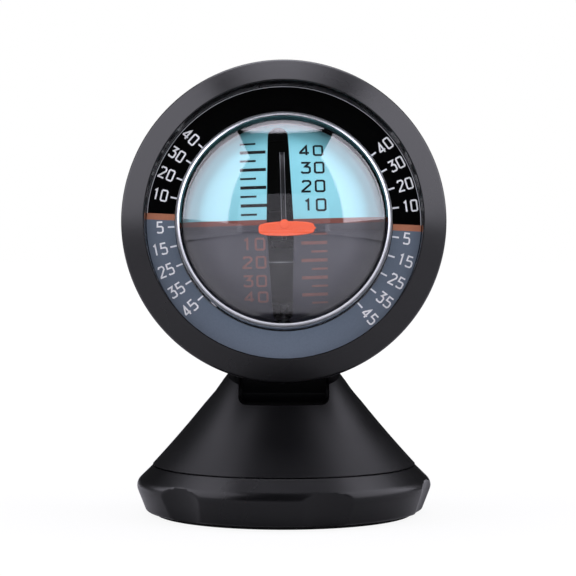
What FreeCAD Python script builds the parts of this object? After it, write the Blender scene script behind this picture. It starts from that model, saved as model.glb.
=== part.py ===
import FreeCAD, Part
import math
import os
import re

import Sketcher

# A dashboard inclinometer: a weighted ball behind a clear dome shows pitch against a pointer
# and roll against a ring of degrees. The head leans on a hinge and the cone turns on the foot.
# Millimetres. +Z is up, the dial faces -Y, and the origin is the middle of the foot's underside.

Vector = FreeCAD.Vector
Rotation = FreeCAD.Rotation
Placement = FreeCAD.Placement

# Driving lengths: alias, value, what it measures.
LENGTHS = (
    # Clearances and cutting tools
    ("overrun", 5.0, "how far a cutting tool runs past the solid it cuts"),
    ("running_gap", 0.04, "radial gap of a shaft in its bush"),
    ("slip_gap", 0.1, "gap between faces that slide"),
    ("case_gap", 0.3, "gap between mouldings that move past each other"),
    ("screw_gap", 0.2, "radial gap of a screw in its clearance hole"),
    # Foot ring, from the floor up
    ("pad_thick", 0.8, "foam pad under the foot"),
    ("pad_inset", 2.2, "ring's lower edge to the pad's edge"),
    ("shoulder_radius", 33.8, "ring at its widest"),
    ("shoulder_height", 7.1, "height of the widest line"),
    ("foot_taper", 2.5, "how much the ring narrows down to its lower edge"),
    ("seam_inset", 4.0, "how much it narrows up to the seam with the cone"),
    ("seam_rise", 4.2, "widest line up to the seam"),
    ("ring_wall", 3.0, "ring's side wall"),
    ("foot_round", 0.9, "rounding of the ring's lower edge"),
    ("shoulder_round", 2.4, "rounding of the ring's shoulder"),
    ("deck_thick", 1.8, "deck across the ring"),
    ("deck_drop", 0.7, "seam down to the deck's top"),
    ("scoop_radius", 22.0, "curve of a finger scoop"),
    ("scoop_depth", 1.45, "depth of a scoop at the shoulder"),
    ("plate_thick", 1.6, "plate under the ring"),
    ("plate_gap", 0.3, "plate to ring wall"),
    ("plate_screw_inset", 8.3, "ring's wall to the plate screws"),
    ("plate_boss_radius", 3.0, "boss for a plate screw"),
    # Swivel
    ("swivel_boss_radius", 5.0, "turret's boss in the deck"),
    ("bush_wall", 1.0, "wall of the swivel bush"),
    ("bush_flange", 1.6, "bush flange beyond its wall"),
    ("bush_flange_thick", 0.6, "thickness of that flange"),
    ("washer_reach", 2.56, "steel washer beyond the bush"),
    ("swivel_washer_thick", 1.0, "steel washer's thickness"),
    ("wave_thick", 0.2, "wave washer's strip"),
    ("wave_rise", 0.5, "height of the wave washer's waves"),
    ("slip_ring_width", 1.8, "slip ring under the cone's rim"),
    ("swivel_screw_radius", 1.25, "swivel screw's shank"),
    ("swivel_screw_length", 9.0, "swivel screw below its head"),
    ("swivel_screw_head", 2.8, "swivel screw's head"),
    # Cone
    ("hinge_rise", 16.2, "seam up to the hinge pin"),
    ("fork_rise", 4.4, "hinge pin up to the cone's flat top"),
    ("slot_drop", 1.8, "hinge pin down to the slot's floor"),
    ("slot_width", 20.2, "slot in the cone's top"),
    ("slot_round", 1.6, "rounding of the slot's lower corners"),
    ("fork_cheek", 2.5, "cheek beside the slot"),
    ("fork_base", 2.2, "material under the slot and trough"),
    ("relief_start", 1.0, "middle to where the fork's top begins to fall away"),
    ("cone_sweep", 260.0, "radius of the cone's hollow sweep"),
    ("cone_shoulder_wall", 3.8, "cone's wall, measured level under the fork"),
    ("cone_rim", 3.3, "cone's rim where it bears on the slip ring"),
    ("cone_rib", 1.4, "rib between boss and wall"),
    # Hinge
    ("hinge_pin_radius", 1.25, "hinge screw's shank"),
    ("hinge_head_radius", 2.2, "hinge screw's head"),
    ("hinge_head_thick", 1.5, "thickness of the hinge screw's head"),
    ("nut_flats", 4.6, "nut across its flats"),
    ("nut_thick", 1.5, "nut's thickness"),
    ("eye_radius", 4.0, "neck's eye round the pin"),
    ("washer_thick", 0.6, "friction washer"),
    ("washer_inset", 0.4, "how much smaller the friction washer is than the eye"),
    ("neck_front_reach", 6.6, "neck's front edge at the case"),
    ("neck_rear_reach", 10.5, "neck's rear edge at the case"),
    ("neck_rise", 3.3, "hinge pin up to the case"),
    ("neck_draw", 8.5, "hinge pin up to where the neck is drawn before the case trims it"),
    ("neck_screw_spread", 5.0, "each neck screw from the middle"),
    ("neck_screw_back", 7.6, "neck screws behind the ball's centre"),
    ("neck_screw_wall", 1.4, "case wall left under a neck screw's head"),
    ("neck_screw_bite", 2.7, "neck screw's thread in the neck"),
    # Head: radii about its axis and distances in front of the ball's centre
    ("head_forward", 1.5, "ball's centre in front of the foot's axis"),
    ("ball_room", 1.5, "ball to the dome's front"),
    ("ball_side_room", 1.3, "ball's widest line to the outside of the dome's side wall"),
    ("dome_wall", 1.1, "dome's wall"),
    ("dome_taper", 0.55, "how much the dome's side wall narrows to its shoulder"),
    ("dome_sweep_extra", 6.6, "how much the dome's front is flatter than its reach"),
    ("dome_shoulder_round", 0.9, "rounding of the dome's shoulder"),
    ("flange_thick", 0.8, "dome's flat flange, clamped behind the dial"),
    ("dial_forward", 8.4, "face of the dial"),
    ("dial_thick", 0.8, "dial's thickness"),
    ("dial_gap", 0.2, "dome's side wall to the dial's inside"),
    ("dial_width", 6.3, "dial's ring"),
    ("shelf_inset", 1.7, "dial's inside to the inside of the seat under the flange"),
    ("shelf_thick", 1.2, "seat's thickness"),
    ("crest_inset", 0.6, "wall of the bezel's recess to the crest"),
    ("crest_round", 0.55, "rounding of the crest"),
    ("bezel_face", 4.5, "crest to the bezel's widest line"),
    ("rim_rise", 4.2, "dial's face to the bezel's widest line"),
    ("crest_rise", 3.7, "bezel's widest line to the crest"),
    ("rim_round", 1.2, "rounding of the bezel's widest line"),
    ("bezel_taper", 0.5, "how much the bezel narrows to its rear edge"),
    ("bezel_depth", 3.4, "dial's face back to the bezel's rear edge"),
    ("groove_inset", 1.3, "wall of the recess to the groove for the case"),
    ("groove_width", 1.6, "width of that groove"),
    ("groove_depth", 3.5, "depth of that groove"),
    ("bezel_boss_radius", 2.2, "screw boss behind the seat"),
    ("bezel_boss_length", 5.0, "length of that boss"),
    ("case_screw_inset", 2.5, "wall of the recess in to the case screws"),
    ("case_shoulder", 0.6, "groove to the outside of the case"),
    ("case_wall", 2.0, "case's wall"),
    ("case_room", 8.7, "ball to the case's flat back"),
    ("case_corner_inset", 14.9, "case's side in to the bowl's back edge"),
    ("case_corner_rise", 2.2, "flat back to where the back edge ends"),
    ("case_corner_round", 6.0, "rounding of the back edge"),
    ("case_back_inset", 4.5, "back edge in to the flat back"),
    ("case_boss_radius", 2.6, "screw boss inside the case"),
    ("case_screw_seat", 8.0, "screw head's seat behind the ball's centre"),
    ("tube_wall", 1.6, "bearing tube's wall"),
    ("tube_reach", 4.4, "how far the bearing tube stands into the ball"),
    ("tube_root_radius", 7.2, "thicker root of the tube"),
    ("tube_root_length", 4.6, "case's back to the root's front"),
    ("rear_recess_radius", 5.5, "recess for the rear cap"),
    ("rear_recess_depth", 2.6, "depth of that recess"),
    ("cap_lip", 0.8, "rear cap's lip beyond the recess"),
    ("cap_thick", 0.9, "thickness of that lip"),
    # Screws
    ("screw_radius", 1.0, "shank of a small screw"),
    ("screw_head_radius", 1.9, "head of a small screw"),
    ("screw_head_thick", 1.3, "thickness of that head"),
    ("screw_drive", 0.55, "width of the cross recess"),
    ("screw_bite", 4.5, "thread's length in its boss"),
    # Roll frame
    ("shaft_radius", 1.0, "roll shaft"),
    ("bush_radius", 2.0, "brass bush's outside"),
    ("bush_length", 2.2, "brass bush's length"),
    ("collar_radius", 2.0, "shaft collar"),
    ("collar_length", 1.4, "shaft collar's length"),
    ("clip_radius", 2.0, "clip on the shaft's end"),
    ("clip_thick", 0.4, "clip's thickness"),
    ("shaft_tail", 0.6, "shaft beyond the clip"),
    ("hub_radius", 3.4, "cross hub"),
    ("hub_half_width", 3.2, "half the hub's width along the axle"),
    ("hub_neck_radius", 2.1, "hub's neck on the shaft"),
    ("hub_neck_length", 7.6, "ball's centre to the neck's end"),
    ("axle_radius", 0.8, "pitch axle"),
    ("axle_inset", 3.2, "ball's outside in to the axle's end"),
    ("eye_disc_inset", 0.2, "how much smaller the arm's eye is than the hub"),
    ("eye_flat", 2.2, "axle to the flat that keeps the arm from turning"),
    ("arm_thick", 1.05, "pointer arm's blade"),
    ("arm_room", 0.6, "ball's inside to the outside of the arm's curved part"),
    ("arm_band", 2.6, "width of the curved part"),
    ("arm_spoke", 2.2, "width of the spoke"),
    ("arm_foot", 3.0, "height of the arm's foot at the pointer"),
    ("pointer_half_length", 6.3, "half the pointer's length"),
    ("pointer_half_height", 1.5, "half its height at the middle"),
    ("pointer_end_height", 0.95, "half its height at the ends"),
    ("pointer_thick", 0.8, "pointer's thickness"),
    ("pointer_gap", 0.35, "ball to the pointer"),
    ("pointer_shift", 0.6, "pointer's middle to the right of the arm"),
    ("pointer_boss", 1.05, "half width of the boss on its top edge"),
    ("pointer_boss_rise", 0.75, "how far that boss stands up"),
    # Ball
    ("ball_radius", 22.8, "outside of the ball"),
    ("ball_wall", 1.3, "ball's wall"),
    ("band_rise", 0.8, "horizon band's middle above the ball's centre"),
    ("band_half", 0.55, "half the horizon band's width"),
    ("band_depth", 2.8, "horizon band, outside to inside"),
    ("slot_half_middle", 2.9, "half the ball slot's width at the horizon"),
    ("slot_half_end", 2.2, "half the slot's width at its ends"),
    ("slot_inset", 3.6, "ball's outside in to where the slot's ends begin to round"),
    ("slot_rise", 0.3, "slot's middle above the ball's"),
    ("slot_shift", 0.8, "slot's middle to the left of the ball's"),
    ("slot_start", 4.0, "how far in front of the axle the slot begins"),
    ("boss_radius", 2.3, "axle boss in the ball"),
    ("boss_length", 3.4, "length of that boss"),
    ("weight_room", 5.0, "ball's outside in to the counterweight"),
    ("weight_top", 5.1, "ball's centre down to the weight's flat top"),
    ("weight_slot", 5.6, "width of the slot that clears the shaft"),
    ("weight_post", 3.6, "radius of the post that carries the weight"),
    ("weight_post_sink", 1.8, "how deep in the weight the post is drawn before the weight trims it"),
)

# Angles in degrees.
ANGLES = (
    ("scoop_lean", 16.0, "a scoop leans out, like the wall"),
    ("scoop_turn", 16.7, "from the front to the first scoop"),
    ("relief_angle", 13.0, "fork's top falls away, so that the head can lean"),
    ("lean_angle", 5.5, "face leans back"),
    ("arm_rise", 50.0, "arm rises above level"),
    ("pointer_drop", 1.6, "pointer hangs below level"),
    ("roll_trim", 1.6, "ball hangs turned in its bearings"),
    ("ball_opening", 66.0, "half angle of the opening at the rear"),
    ("weight_slot_fall", 62.0, "front wall of the weight's slot falls to the rear"),
    ("weight_tilt", 9.3, "weight is turned to balance the ball"),
)

# How many of each.
COUNTS = (
    ("scoop_count", 6, "scoops"),
    ("plate_screw_count", 3, "plate screws"),
    ("rib_count", 4, "ribs in the cone"),
    ("case_screw_count", 4, "case screws"),
    ("wave_count", 3, "waves of the wave washer"),
)

# Lengths that follow from those above: alias, formula, what it measures.
FOLLOWING = (
    ("foot_radius", "shoulder_radius - foot_taper", "ring at its lower edge"),
    ("seam_radius", "shoulder_radius - seam_inset", "cone and ring where they meet"),
    ("seam_height", "shoulder_height + seam_rise", "height of the seam"),
    ("plate_screw_circle", "foot_radius - ring_wall - plate_screw_inset", "circle of plate screws"),
    ("swivel_washer_radius", "swivel_boss_radius + running_gap + bush_wall + washer_reach", "steel washer"),
    ("hinge_height", "seam_height + hinge_rise", "height of the hinge pin"),
    ("cone_top_height", "hinge_height + fork_rise", "height of the cone's flat top"),
    ("cone_top_radius", "slot_width / 2 + fork_cheek", "cone at its flat top"),
    ("hinge_head_seat", "slot_width / 2 + fork_cheek", "middle to the seat of the head and nut"),
    ("slot_floor", "hinge_height - slot_drop", "height of the slot's floor"),
    ("washer_radius", "eye_radius - washer_inset", "friction washer's outside"),
    ("dome_reach", "ball_radius + ball_room + dome_wall", "dome's front, before the ball's centre"),
    ("dome_side", "ball_radius + ball_side_room", "outside of the dome's side wall at the flange"),
    ("dome_shoulder", "dome_side - dome_taper", "outside of the dome at its shoulder"),
    ("dome_sweep", "dome_reach + dome_sweep_extra", "radius of the dome's front"),
    ("dial_hole", "dome_side + dial_gap", "dial's inside"),
    ("dial_outer", "dial_hole + dial_width", "dial's outside"),
    ("shelf_radius", "dial_hole + shelf_inset", "inside of the seat under the flange"),
    ("recess_radius", "dial_outer + case_gap", "wall of the recess round the dial"),
    ("crest_radius", "recess_radius + crest_inset", "middle of the bezel's crest"),
    ("rim_radius", "crest_radius + bezel_face", "bezel at its widest"),
    ("bezel_back", "dial_forward - bezel_depth", "bezel's rear edge"),
    ("rim_forward", "dial_forward + rim_rise", "bezel's widest line"),
    ("crest_forward", "rim_forward + crest_rise", "bezel's foremost line"),
    ("groove_radius", "recess_radius + groove_inset", "bezel's groove for the case, inner wall"),
    ("case_screw_circle", "recess_radius - case_screw_inset", "circle of case screws"),
    ("case_radius", "groove_radius + groove_width + case_shoulder", "case beside the bezel"),
    ("case_back", "ball_radius + case_room", "case's flat back, behind the ball's centre"),
    ("case_corner_radius", "case_radius - case_corner_inset", "bowl where its back edge begins"),
    ("case_corner_back", "case_back - case_corner_rise", "how far back that is"),
    ("case_back_radius", "case_corner_radius - case_back_inset", "radius of the flat back"),
    ("bowl_depth", "case_corner_back + bezel_back - case_wall", "length of the bowl's curve along the axis"),
    ("case_sweep", "(case_corner_inset^2 + bowl_depth^2) / (2 * case_corner_inset)",
     "radius of the curve that leaves the case's side straight and ends at its back edge"),
    ("head_height", "hinge_height + neck_rise + case_radius", "height of the ball's centre"),
    ("neck_top", "hinge_height + neck_draw", "height to which the neck is drawn"),
    ("tube_radius", "bush_radius + tube_wall", "bearing tube's outside"),
    ("tube_front", "ball_radius - tube_reach", "bearing tube's front end behind the ball's centre"),
    ("eye_disc_radius", "hub_radius - eye_disc_inset", "arm's eye round the axle"),
    ("axle_reach", "ball_radius - axle_inset", "ball's centre to the axle's end"),
    ("arm_outer", "ball_radius - ball_wall - arm_room", "outside of the arm's curved part"),
    ("slot_reach", "ball_radius - slot_inset", "horizon to where the slot's ends begin to round"),
    ("weight_radius", "ball_radius - weight_room", "counterweight's outside"),
    ("weight_post_start", "weight_radius - weight_post_sink", "where the post is drawn from"),
)

SIZES = LENGTHS + ANGLES + COUNTS + tuple(
    (alias, "=" + formula, meaning) for alias, formula, meaning in FOLLOWING
)

doc = FreeCAD.newDocument("inclinometer")
sheet = doc.addObject("Spreadsheet::Sheet", "Sizes")
for row, (alias, amount, meaning) in enumerate(SIZES, 1):
    sheet.set(f"A{row}", meaning)
    sheet.set(f"B{row}", str(amount))
    sheet.setAlias(f"B{row}", alias)
doc.recompute()

ALIASES = {alias for alias, amount, meaning in SIZES}
HALF_TURN = 180
FULL_TURN = 360
QUARTER_TURN = 90
HALF_CIRCLE_SLACK = 0.001
PARTS = []


def bound(text):
    """An expression with each size named in it read from the sheet."""
    return re.sub(r"[a-z_]+", lambda word: f"Sizes.{word[0]}" if word[0] in ALIASES else word[0], str(text))


def size(text):
    """The number that an expression gives now."""
    return float(sheet.evalExpression(bound(text)))


def tie(thing, **expressions):
    """Binds properties to expressions; a double underscore stands for a dot."""
    for name, text in expressions.items():
        path = name.replace("__", ".")
        thing.setExpression(path, bound(text))
    return thing


def new_body(name):
    return doc.addObject("PartDesign::Body", name)


def new_sketch(body, name, plane, offset="0"):
    """An empty sketch on one of the body's own planes, lifted off it by an expression."""
    sketch = body.newObject("Sketcher::SketchObject", name)
    face = [item for item in body.Origin.OriginFeatures if item.Role == plane][0]
    sketch.AttachmentSupport = [(face, "")]
    sketch.MapMode = "FlatFace"
    sketch.AttachmentOffset = Placement(Vector(0, 0, size(offset)), Rotation())
    tie(sketch, AttachmentOffset__Base__z=offset)
    return sketch


def arc_between(start, end, radius, side):
    """An arc from start to end; side +1 bulges to the left of the way, -1 to the right."""
    chord = end - start
    half = chord.Length / 2
    radius = max(radius, half)
    left = Vector(-chord.y, chord.x, 0).normalize()
    middle = (start + end) / 2 - left * math.sqrt(radius * radius - half * half) * side
    near, far = (end, start) if side > 0 else (start, end)
    first = math.atan2(near.y - middle.y, near.x - middle.x)
    last = math.atan2(far.y - middle.y, far.x - middle.x)
    if last < first:
        last += 2 * math.pi
    return Part.ArcOfCircle(Part.Circle(middle, Vector(0, 0, 1), radius), first, last)


def hold(sketch, kind, *items, text):
    """Adds a dimension to a sketch and ties it to an expression."""
    index = sketch.addConstraint(Sketcher.Constraint(kind, *items, size(text)))
    sketch.setExpression(f"Constraints[{index}]", bound(text))


def draw_outline(sketch, corners):
    """Draws a closed outline. A corner is (across, up), or (across, up, radius, side) where an
    arc leads to it. Each corner is held from the sketch's origin and each arc by its radius,
    but a half circle between two level corners by the height of its middle."""
    first = sketch.GeometryCount
    places = [Vector(size(corner[0]), size(corner[1]), 0) for corner in corners]
    count = len(corners)
    for index in range(count):
        following = corners[(index + 1) % count]
        start = places[index]
        end = places[(index + 1) % count]
        if len(following) == 4:
            sketch.addGeometry(arc_between(start, end, size(following[2]), following[3]))
        else:
            sketch.addGeometry(Part.LineSegment(start, end))
    ends = []
    for index in range(count):
        curve = sketch.Geometry[first + index]
        turned = (curve.StartPoint - places[index]).Length > (curve.EndPoint - places[index]).Length
        ends.append((2, 1) if turned else (1, 2))
    for index in range(count):
        following = (index + 1) % count
        joined = (first + index, ends[index][1], first + following, ends[following][0])
        sketch.addConstraint(Sketcher.Constraint("Coincident", *joined))
    for index, corner in enumerate(corners):
        point = (first + index, ends[index][0])
        hold(sketch, "DistanceX", -1, 1, *point, text=corner[0])
        hold(sketch, "DistanceY", -1, 1, *point, text=corner[1])
        if len(corner) == 4:
            arc = first + (index - 1) % count
            if abs(sketch.Geometry[arc].Center.y - places[index].y) < HALF_CIRCLE_SLACK:
                hold(sketch, "DistanceY", -1, 1, arc, 3, text=corner[1])
            else:
                hold(sketch, "Radius", arc, text=corner[2])
    return sketch


def draw_circle(sketch, across, up, radius):
    """Draws a circle whose middle and radius are expressions."""
    middle = Vector(size(across), size(up), 0)
    index = sketch.addGeometry(Part.Circle(middle, Vector(0, 0, 1), size(radius)))
    hold(sketch, "DistanceX", -1, 1, index, 3, text=across)
    hold(sketch, "DistanceY", -1, 1, index, 3, text=up)
    hold(sketch, "Radius", index, text=radius)
    return sketch


def revolve(body, name, corners, feature="PartDesign::Revolution"):
    """Turns an outline in the plane of X and Z once round Z."""
    sketch = draw_outline(new_sketch(body, name + "_outline", "XZ_Plane"), corners)
    turned = body.newObject(feature, name)
    turned.Profile = sketch
    turned.ReferenceAxis = (sketch, ["V_Axis"])
    turned.Angle = FULL_TURN
    sketch.Visibility = False
    return turned


def extrude(body, sketch, name, length, feature="PartDesign::Pad", reverse=False, both=False):
    """Pads or pockets a sketch by an expression."""
    made = body.newObject(feature, name)
    made.Profile = sketch
    if both:
        made.Midplane = True
    tie(made, Length=length)
    made.Reversed = reverse
    return made


def repeat(body, feature, count):
    """Repeats a feature round the body's Z axis."""
    pattern = body.newObject("PartDesign::PolarPattern", feature.Name + "_pattern")
    pattern.Originals = [feature]
    axis = [item for item in body.Origin.OriginFeatures if item.Role == "Z_Axis"][0]
    pattern.Axis = (axis, [""])
    pattern.Angle = FULL_TURN
    tie(pattern, Occurrences=count)
    body.Tip = pattern
    return pattern


def primitive(kind, name, **expressions):
    """A Part primitive with its sizes and place tied to expressions."""
    return tie(doc.addObject(kind, name), **expressions)


def cut(name, base, tool):
    result = doc.addObject("Part::Cut", name)
    result.Base = base
    result.Tool = tool
    return result


def fuse(name, *shapes):
    result = doc.addObject("Part::MultiFuse", name)
    result.Shapes = list(shapes)
    return result


def common(name, *shapes):
    result = doc.addObject("Part::MultiCommon", name)
    result.Shapes = list(shapes)
    return result


def round_edges(body, name, radius, wanted):
    """Rounds the edges of the body's newest solid that a test picks."""
    doc.recompute()
    base = body.Tip
    names = [f"Edge{index}" for index, edge in enumerate(base.Shape.Edges, 1) if wanted(edge)]
    fillet = body.newObject("PartDesign::Fillet", name)
    fillet.Base = (base, names)
    tie(fillet, Radius=radius)
    return fillet


def circle_at(radius, height, slack=0.01):
    """A test for a round edge about Z with a radius at a height."""
    def wanted(edge):
        if edge.Degenerated or not isinstance(edge.Curve, Part.Circle):
            return False
        middle = edge.Curve.Center
        near = abs(edge.Curve.Radius - size(radius)) < slack and abs(middle.z - size(height)) < slack
        return near and math.hypot(middle.x, middle.y) < slack
    return wanted


def stand(part):
    """Keeps a piece that is modelled upright about the foot's axis."""
    PARTS.append(part)
    return part


def head_place(level=False, roll=False):
    """From the head's frame, about the ball's centre with +Z forward and +Y up, to the part's.
    A level piece stays upright while the face leans, and a rolled one hangs turned."""
    turn = Rotation(Vector(1, 0, 0), QUARTER_TURN - size("lean_angle"))
    if roll:
        turn = turn.multiply(Rotation(Vector(0, 0, 1), size("roll_trim")))
    if level:
        turn = turn.multiply(Rotation(Vector(1, 0, 0), size("lean_angle")))
    return Placement(Vector(0, size("-head_forward"), size("head_height")), turn)


def set_in_head(part, **where):
    """Places a piece or a tool in the head and ties its middle to the sheet."""
    part.Placement = head_place(**where)
    return tie(part, Placement__Base__y="-head_forward", Placement__Base__z="head_height")


def lean(part, **where):
    """Keeps a piece that is modelled in the head's frame."""
    PARTS.append(set_in_head(part, **where))
    return part


def plain_feature(name, shape):
    """A piece whose shape is worked out here from the sheet's sizes."""
    feature = doc.addObject("Part::Feature", name)
    feature.Shape = shape
    return feature


def screw_shape(shank, length, head, thick, countersunk=False):
    """One screw along Z: the head's seat is at zero, the shank goes down and the head up."""
    shaft = Part.makeCylinder(shank, length, Vector(0, 0, -length))
    if countersunk:
        cap = Part.makeCone(shank, head, thick)
    else:
        cap = Part.makeCylinder(head, thick)
        cap = cap.makeFillet(thick / 3, [edge for edge in cap.Edges if edge.BoundBox.ZMin > thick / 2])
    drive = size("screw_drive")
    deep = thick / 2
    for turn in (0, QUARTER_TURN):
        bar = Part.makeBox(head, drive, deep + thick, Vector(-head / 2, -drive / 2, thick - deep))
        cap = cap.cut(bar.rotated(Vector(0, 0, 0), Vector(0, 0, 1), turn))
    return shaft.fuse(cap).removeSplitter()


def ring_of(shape, radius, count, start=0):
    """Copies of a shape set round Z on a circle."""
    copies = []
    for index in range(int(count)):
        angle = start + FULL_TURN * index / count
        moved = shape.translated(Vector(radius, 0, 0))
        copies.append(moved.rotated(Vector(0, 0, 0), Vector(0, 0, 1), angle))
    return Part.makeCompound(copies)


# Foot

RING_BOTTOM = "pad_thick"
DECK_TOP = "(seam_height - deck_drop)"
DECK_BOTTOM = "(seam_height - deck_drop - deck_thick)"
BUSH_OUTER = "(swivel_boss_radius + running_gap + bush_wall)"
SLIP_OUTER = "(seam_radius - cone_rim + slip_ring_width + case_gap)"
CAVITY_RADIUS = "(foot_radius - ring_wall)"


def base_ring():
    body = new_body("ring_body")
    revolve(body, "ring_turned", [
        (BUSH_OUTER, DECK_BOTTOM),
        (CAVITY_RADIUS, DECK_BOTTOM),
        (CAVITY_RADIUS, RING_BOTTOM),
        ("foot_radius", RING_BOTTOM),
        ("shoulder_radius", "shoulder_height"),
        ("seam_radius", "seam_height - case_gap"),
        (SLIP_OUTER + " + slip_gap", "seam_height - case_gap"),
        (SLIP_OUTER + " + slip_gap", DECK_TOP),
        (BUSH_OUTER, DECK_TOP),
    ])
    round_edges(body, "shoulder_rounding", "shoulder_round", circle_at("shoulder_radius", "shoulder_height"))
    round_edges(body, "foot_rounding", "foot_round", circle_at("foot_radius", RING_BOTTOM))
    sketch = new_sketch(body, "plate_boss_outline", "XY_Plane", "pad_thick + plate_thick")
    draw_circle(sketch, "0", "plate_screw_circle", "plate_boss_radius")
    boss = extrude(body, sketch, "plate_boss", f"{DECK_BOTTOM} - pad_thick - plate_thick")
    repeat(body, boss, "plate_screw_count")
    sketch = new_sketch(body, "plate_hole_outline", "XY_Plane", "pad_thick + plate_thick")
    draw_circle(sketch, "0", "plate_screw_circle", "screw_radius")
    hole = extrude(body, sketch, "plate_hole", "screw_bite + screw_gap", "PartDesign::Pocket", reverse=True)
    repeat(body, hole, "plate_screw_count")
    stand(cut("base_ring", body, scoop_tools()))


def scoop_tools():
    """Six leaning cylinders whose sides hollow the ring's wall."""
    tools = []
    lean_out = Rotation(Vector(0, 1, 0), size("scoop_lean"))
    reach = size("shoulder_radius - scoop_depth + scoop_radius / cos(scoop_lean)")
    middle = Vector(reach, 0, size("shoulder_height"))
    start = middle - lean_out.multVec(Vector(0, 0, size("seam_height")))
    for index in range(int(size("scoop_count"))):
        tool = primitive("Part::Cylinder", f"scoop_tool_{index}",
                         Radius="scoop_radius", Height="seam_height * 2")
        angle = size("scoop_turn") - QUARTER_TURN + index * FULL_TURN / size("scoop_count")
        around = Placement(Vector(0, 0, 0), Rotation(Vector(0, 0, 1), angle))
        tool.Placement = around.multiply(Placement(start, lean_out))
        tools.append(tool)
    return fuse("scoop_tools", *tools)


def base_plate():
    body = new_body("base_plate_disc")
    edge = f"{CAVITY_RADIUS} - plate_gap"
    revolve(body, "plate_disc", [
        ("0", "pad_thick"),
        (edge, "pad_thick"),
        (edge, "pad_thick + plate_thick"),
        ("0", "pad_thick + plate_thick"),
    ])
    thick = size("plate_thick")
    sink = Part.makeCone(size("screw_head_radius + screw_gap"), size("screw_radius + screw_gap"), thick,
                         Vector(0, 0, size("pad_thick")))
    sinks = ring_of(sink, size("plate_screw_circle"), size("plate_screw_count"), QUARTER_TURN)
    stand(cut("base_plate", body, plain_feature("plate_sinks", sinks)))


def base_screws():
    shank = size("screw_radius")
    length = size("screw_bite")
    one = screw_shape(shank, length, size("screw_head_radius"), size("plate_thick - screw_gap"),
                      countersunk=True)
    one = one.rotated(Vector(0, 0, 0), Vector(1, 0, 0), HALF_TURN)
    one = one.translated(Vector(0, 0, size("pad_thick + plate_thick")))
    group = ring_of(one, size("plate_screw_circle"), size("plate_screw_count"), QUARTER_TURN)
    stand(plain_feature("base_screws", group))


def foot_pad():
    body = new_body("foot_pad")
    revolve(body, "pad_disc", [
        ("0", "0"),
        ("foot_radius - pad_inset", "0"),
        ("foot_radius - pad_inset", "pad_thick"),
        ("0", "pad_thick"),
    ])
    stand(body)


def swivel_bush():
    body = new_body("swivel_bush")
    inner = "swivel_boss_radius + running_gap"
    revolve(body, "bush_turned", [
        (inner, DECK_BOTTOM),
        (BUSH_OUTER, DECK_BOTTOM),
        (BUSH_OUTER, DECK_TOP),
        (f"{BUSH_OUTER} + bush_flange", DECK_TOP),
        (f"{BUSH_OUTER} + bush_flange", f"{DECK_TOP} + bush_flange_thick"),
        (inner, f"{DECK_TOP} + bush_flange_thick"),
    ])
    stand(body)


# Turret

BOSS_END = f"({DECK_BOTTOM} - wave_rise - slip_gap)"
TROUGH_RADIUS = "(eye_radius + case_gap)"
FORK_UNDERSIDE = f"(hinge_height - {TROUGH_RADIUS} - fork_base)"
INNER_TOP_RADIUS = (
    f"(cone_top_radius + (cone_top_height - {FORK_UNDERSIDE})"
    " * (seam_radius - cone_top_radius) / (cone_top_height - seam_height) - cone_shoulder_wall)"
)


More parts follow.
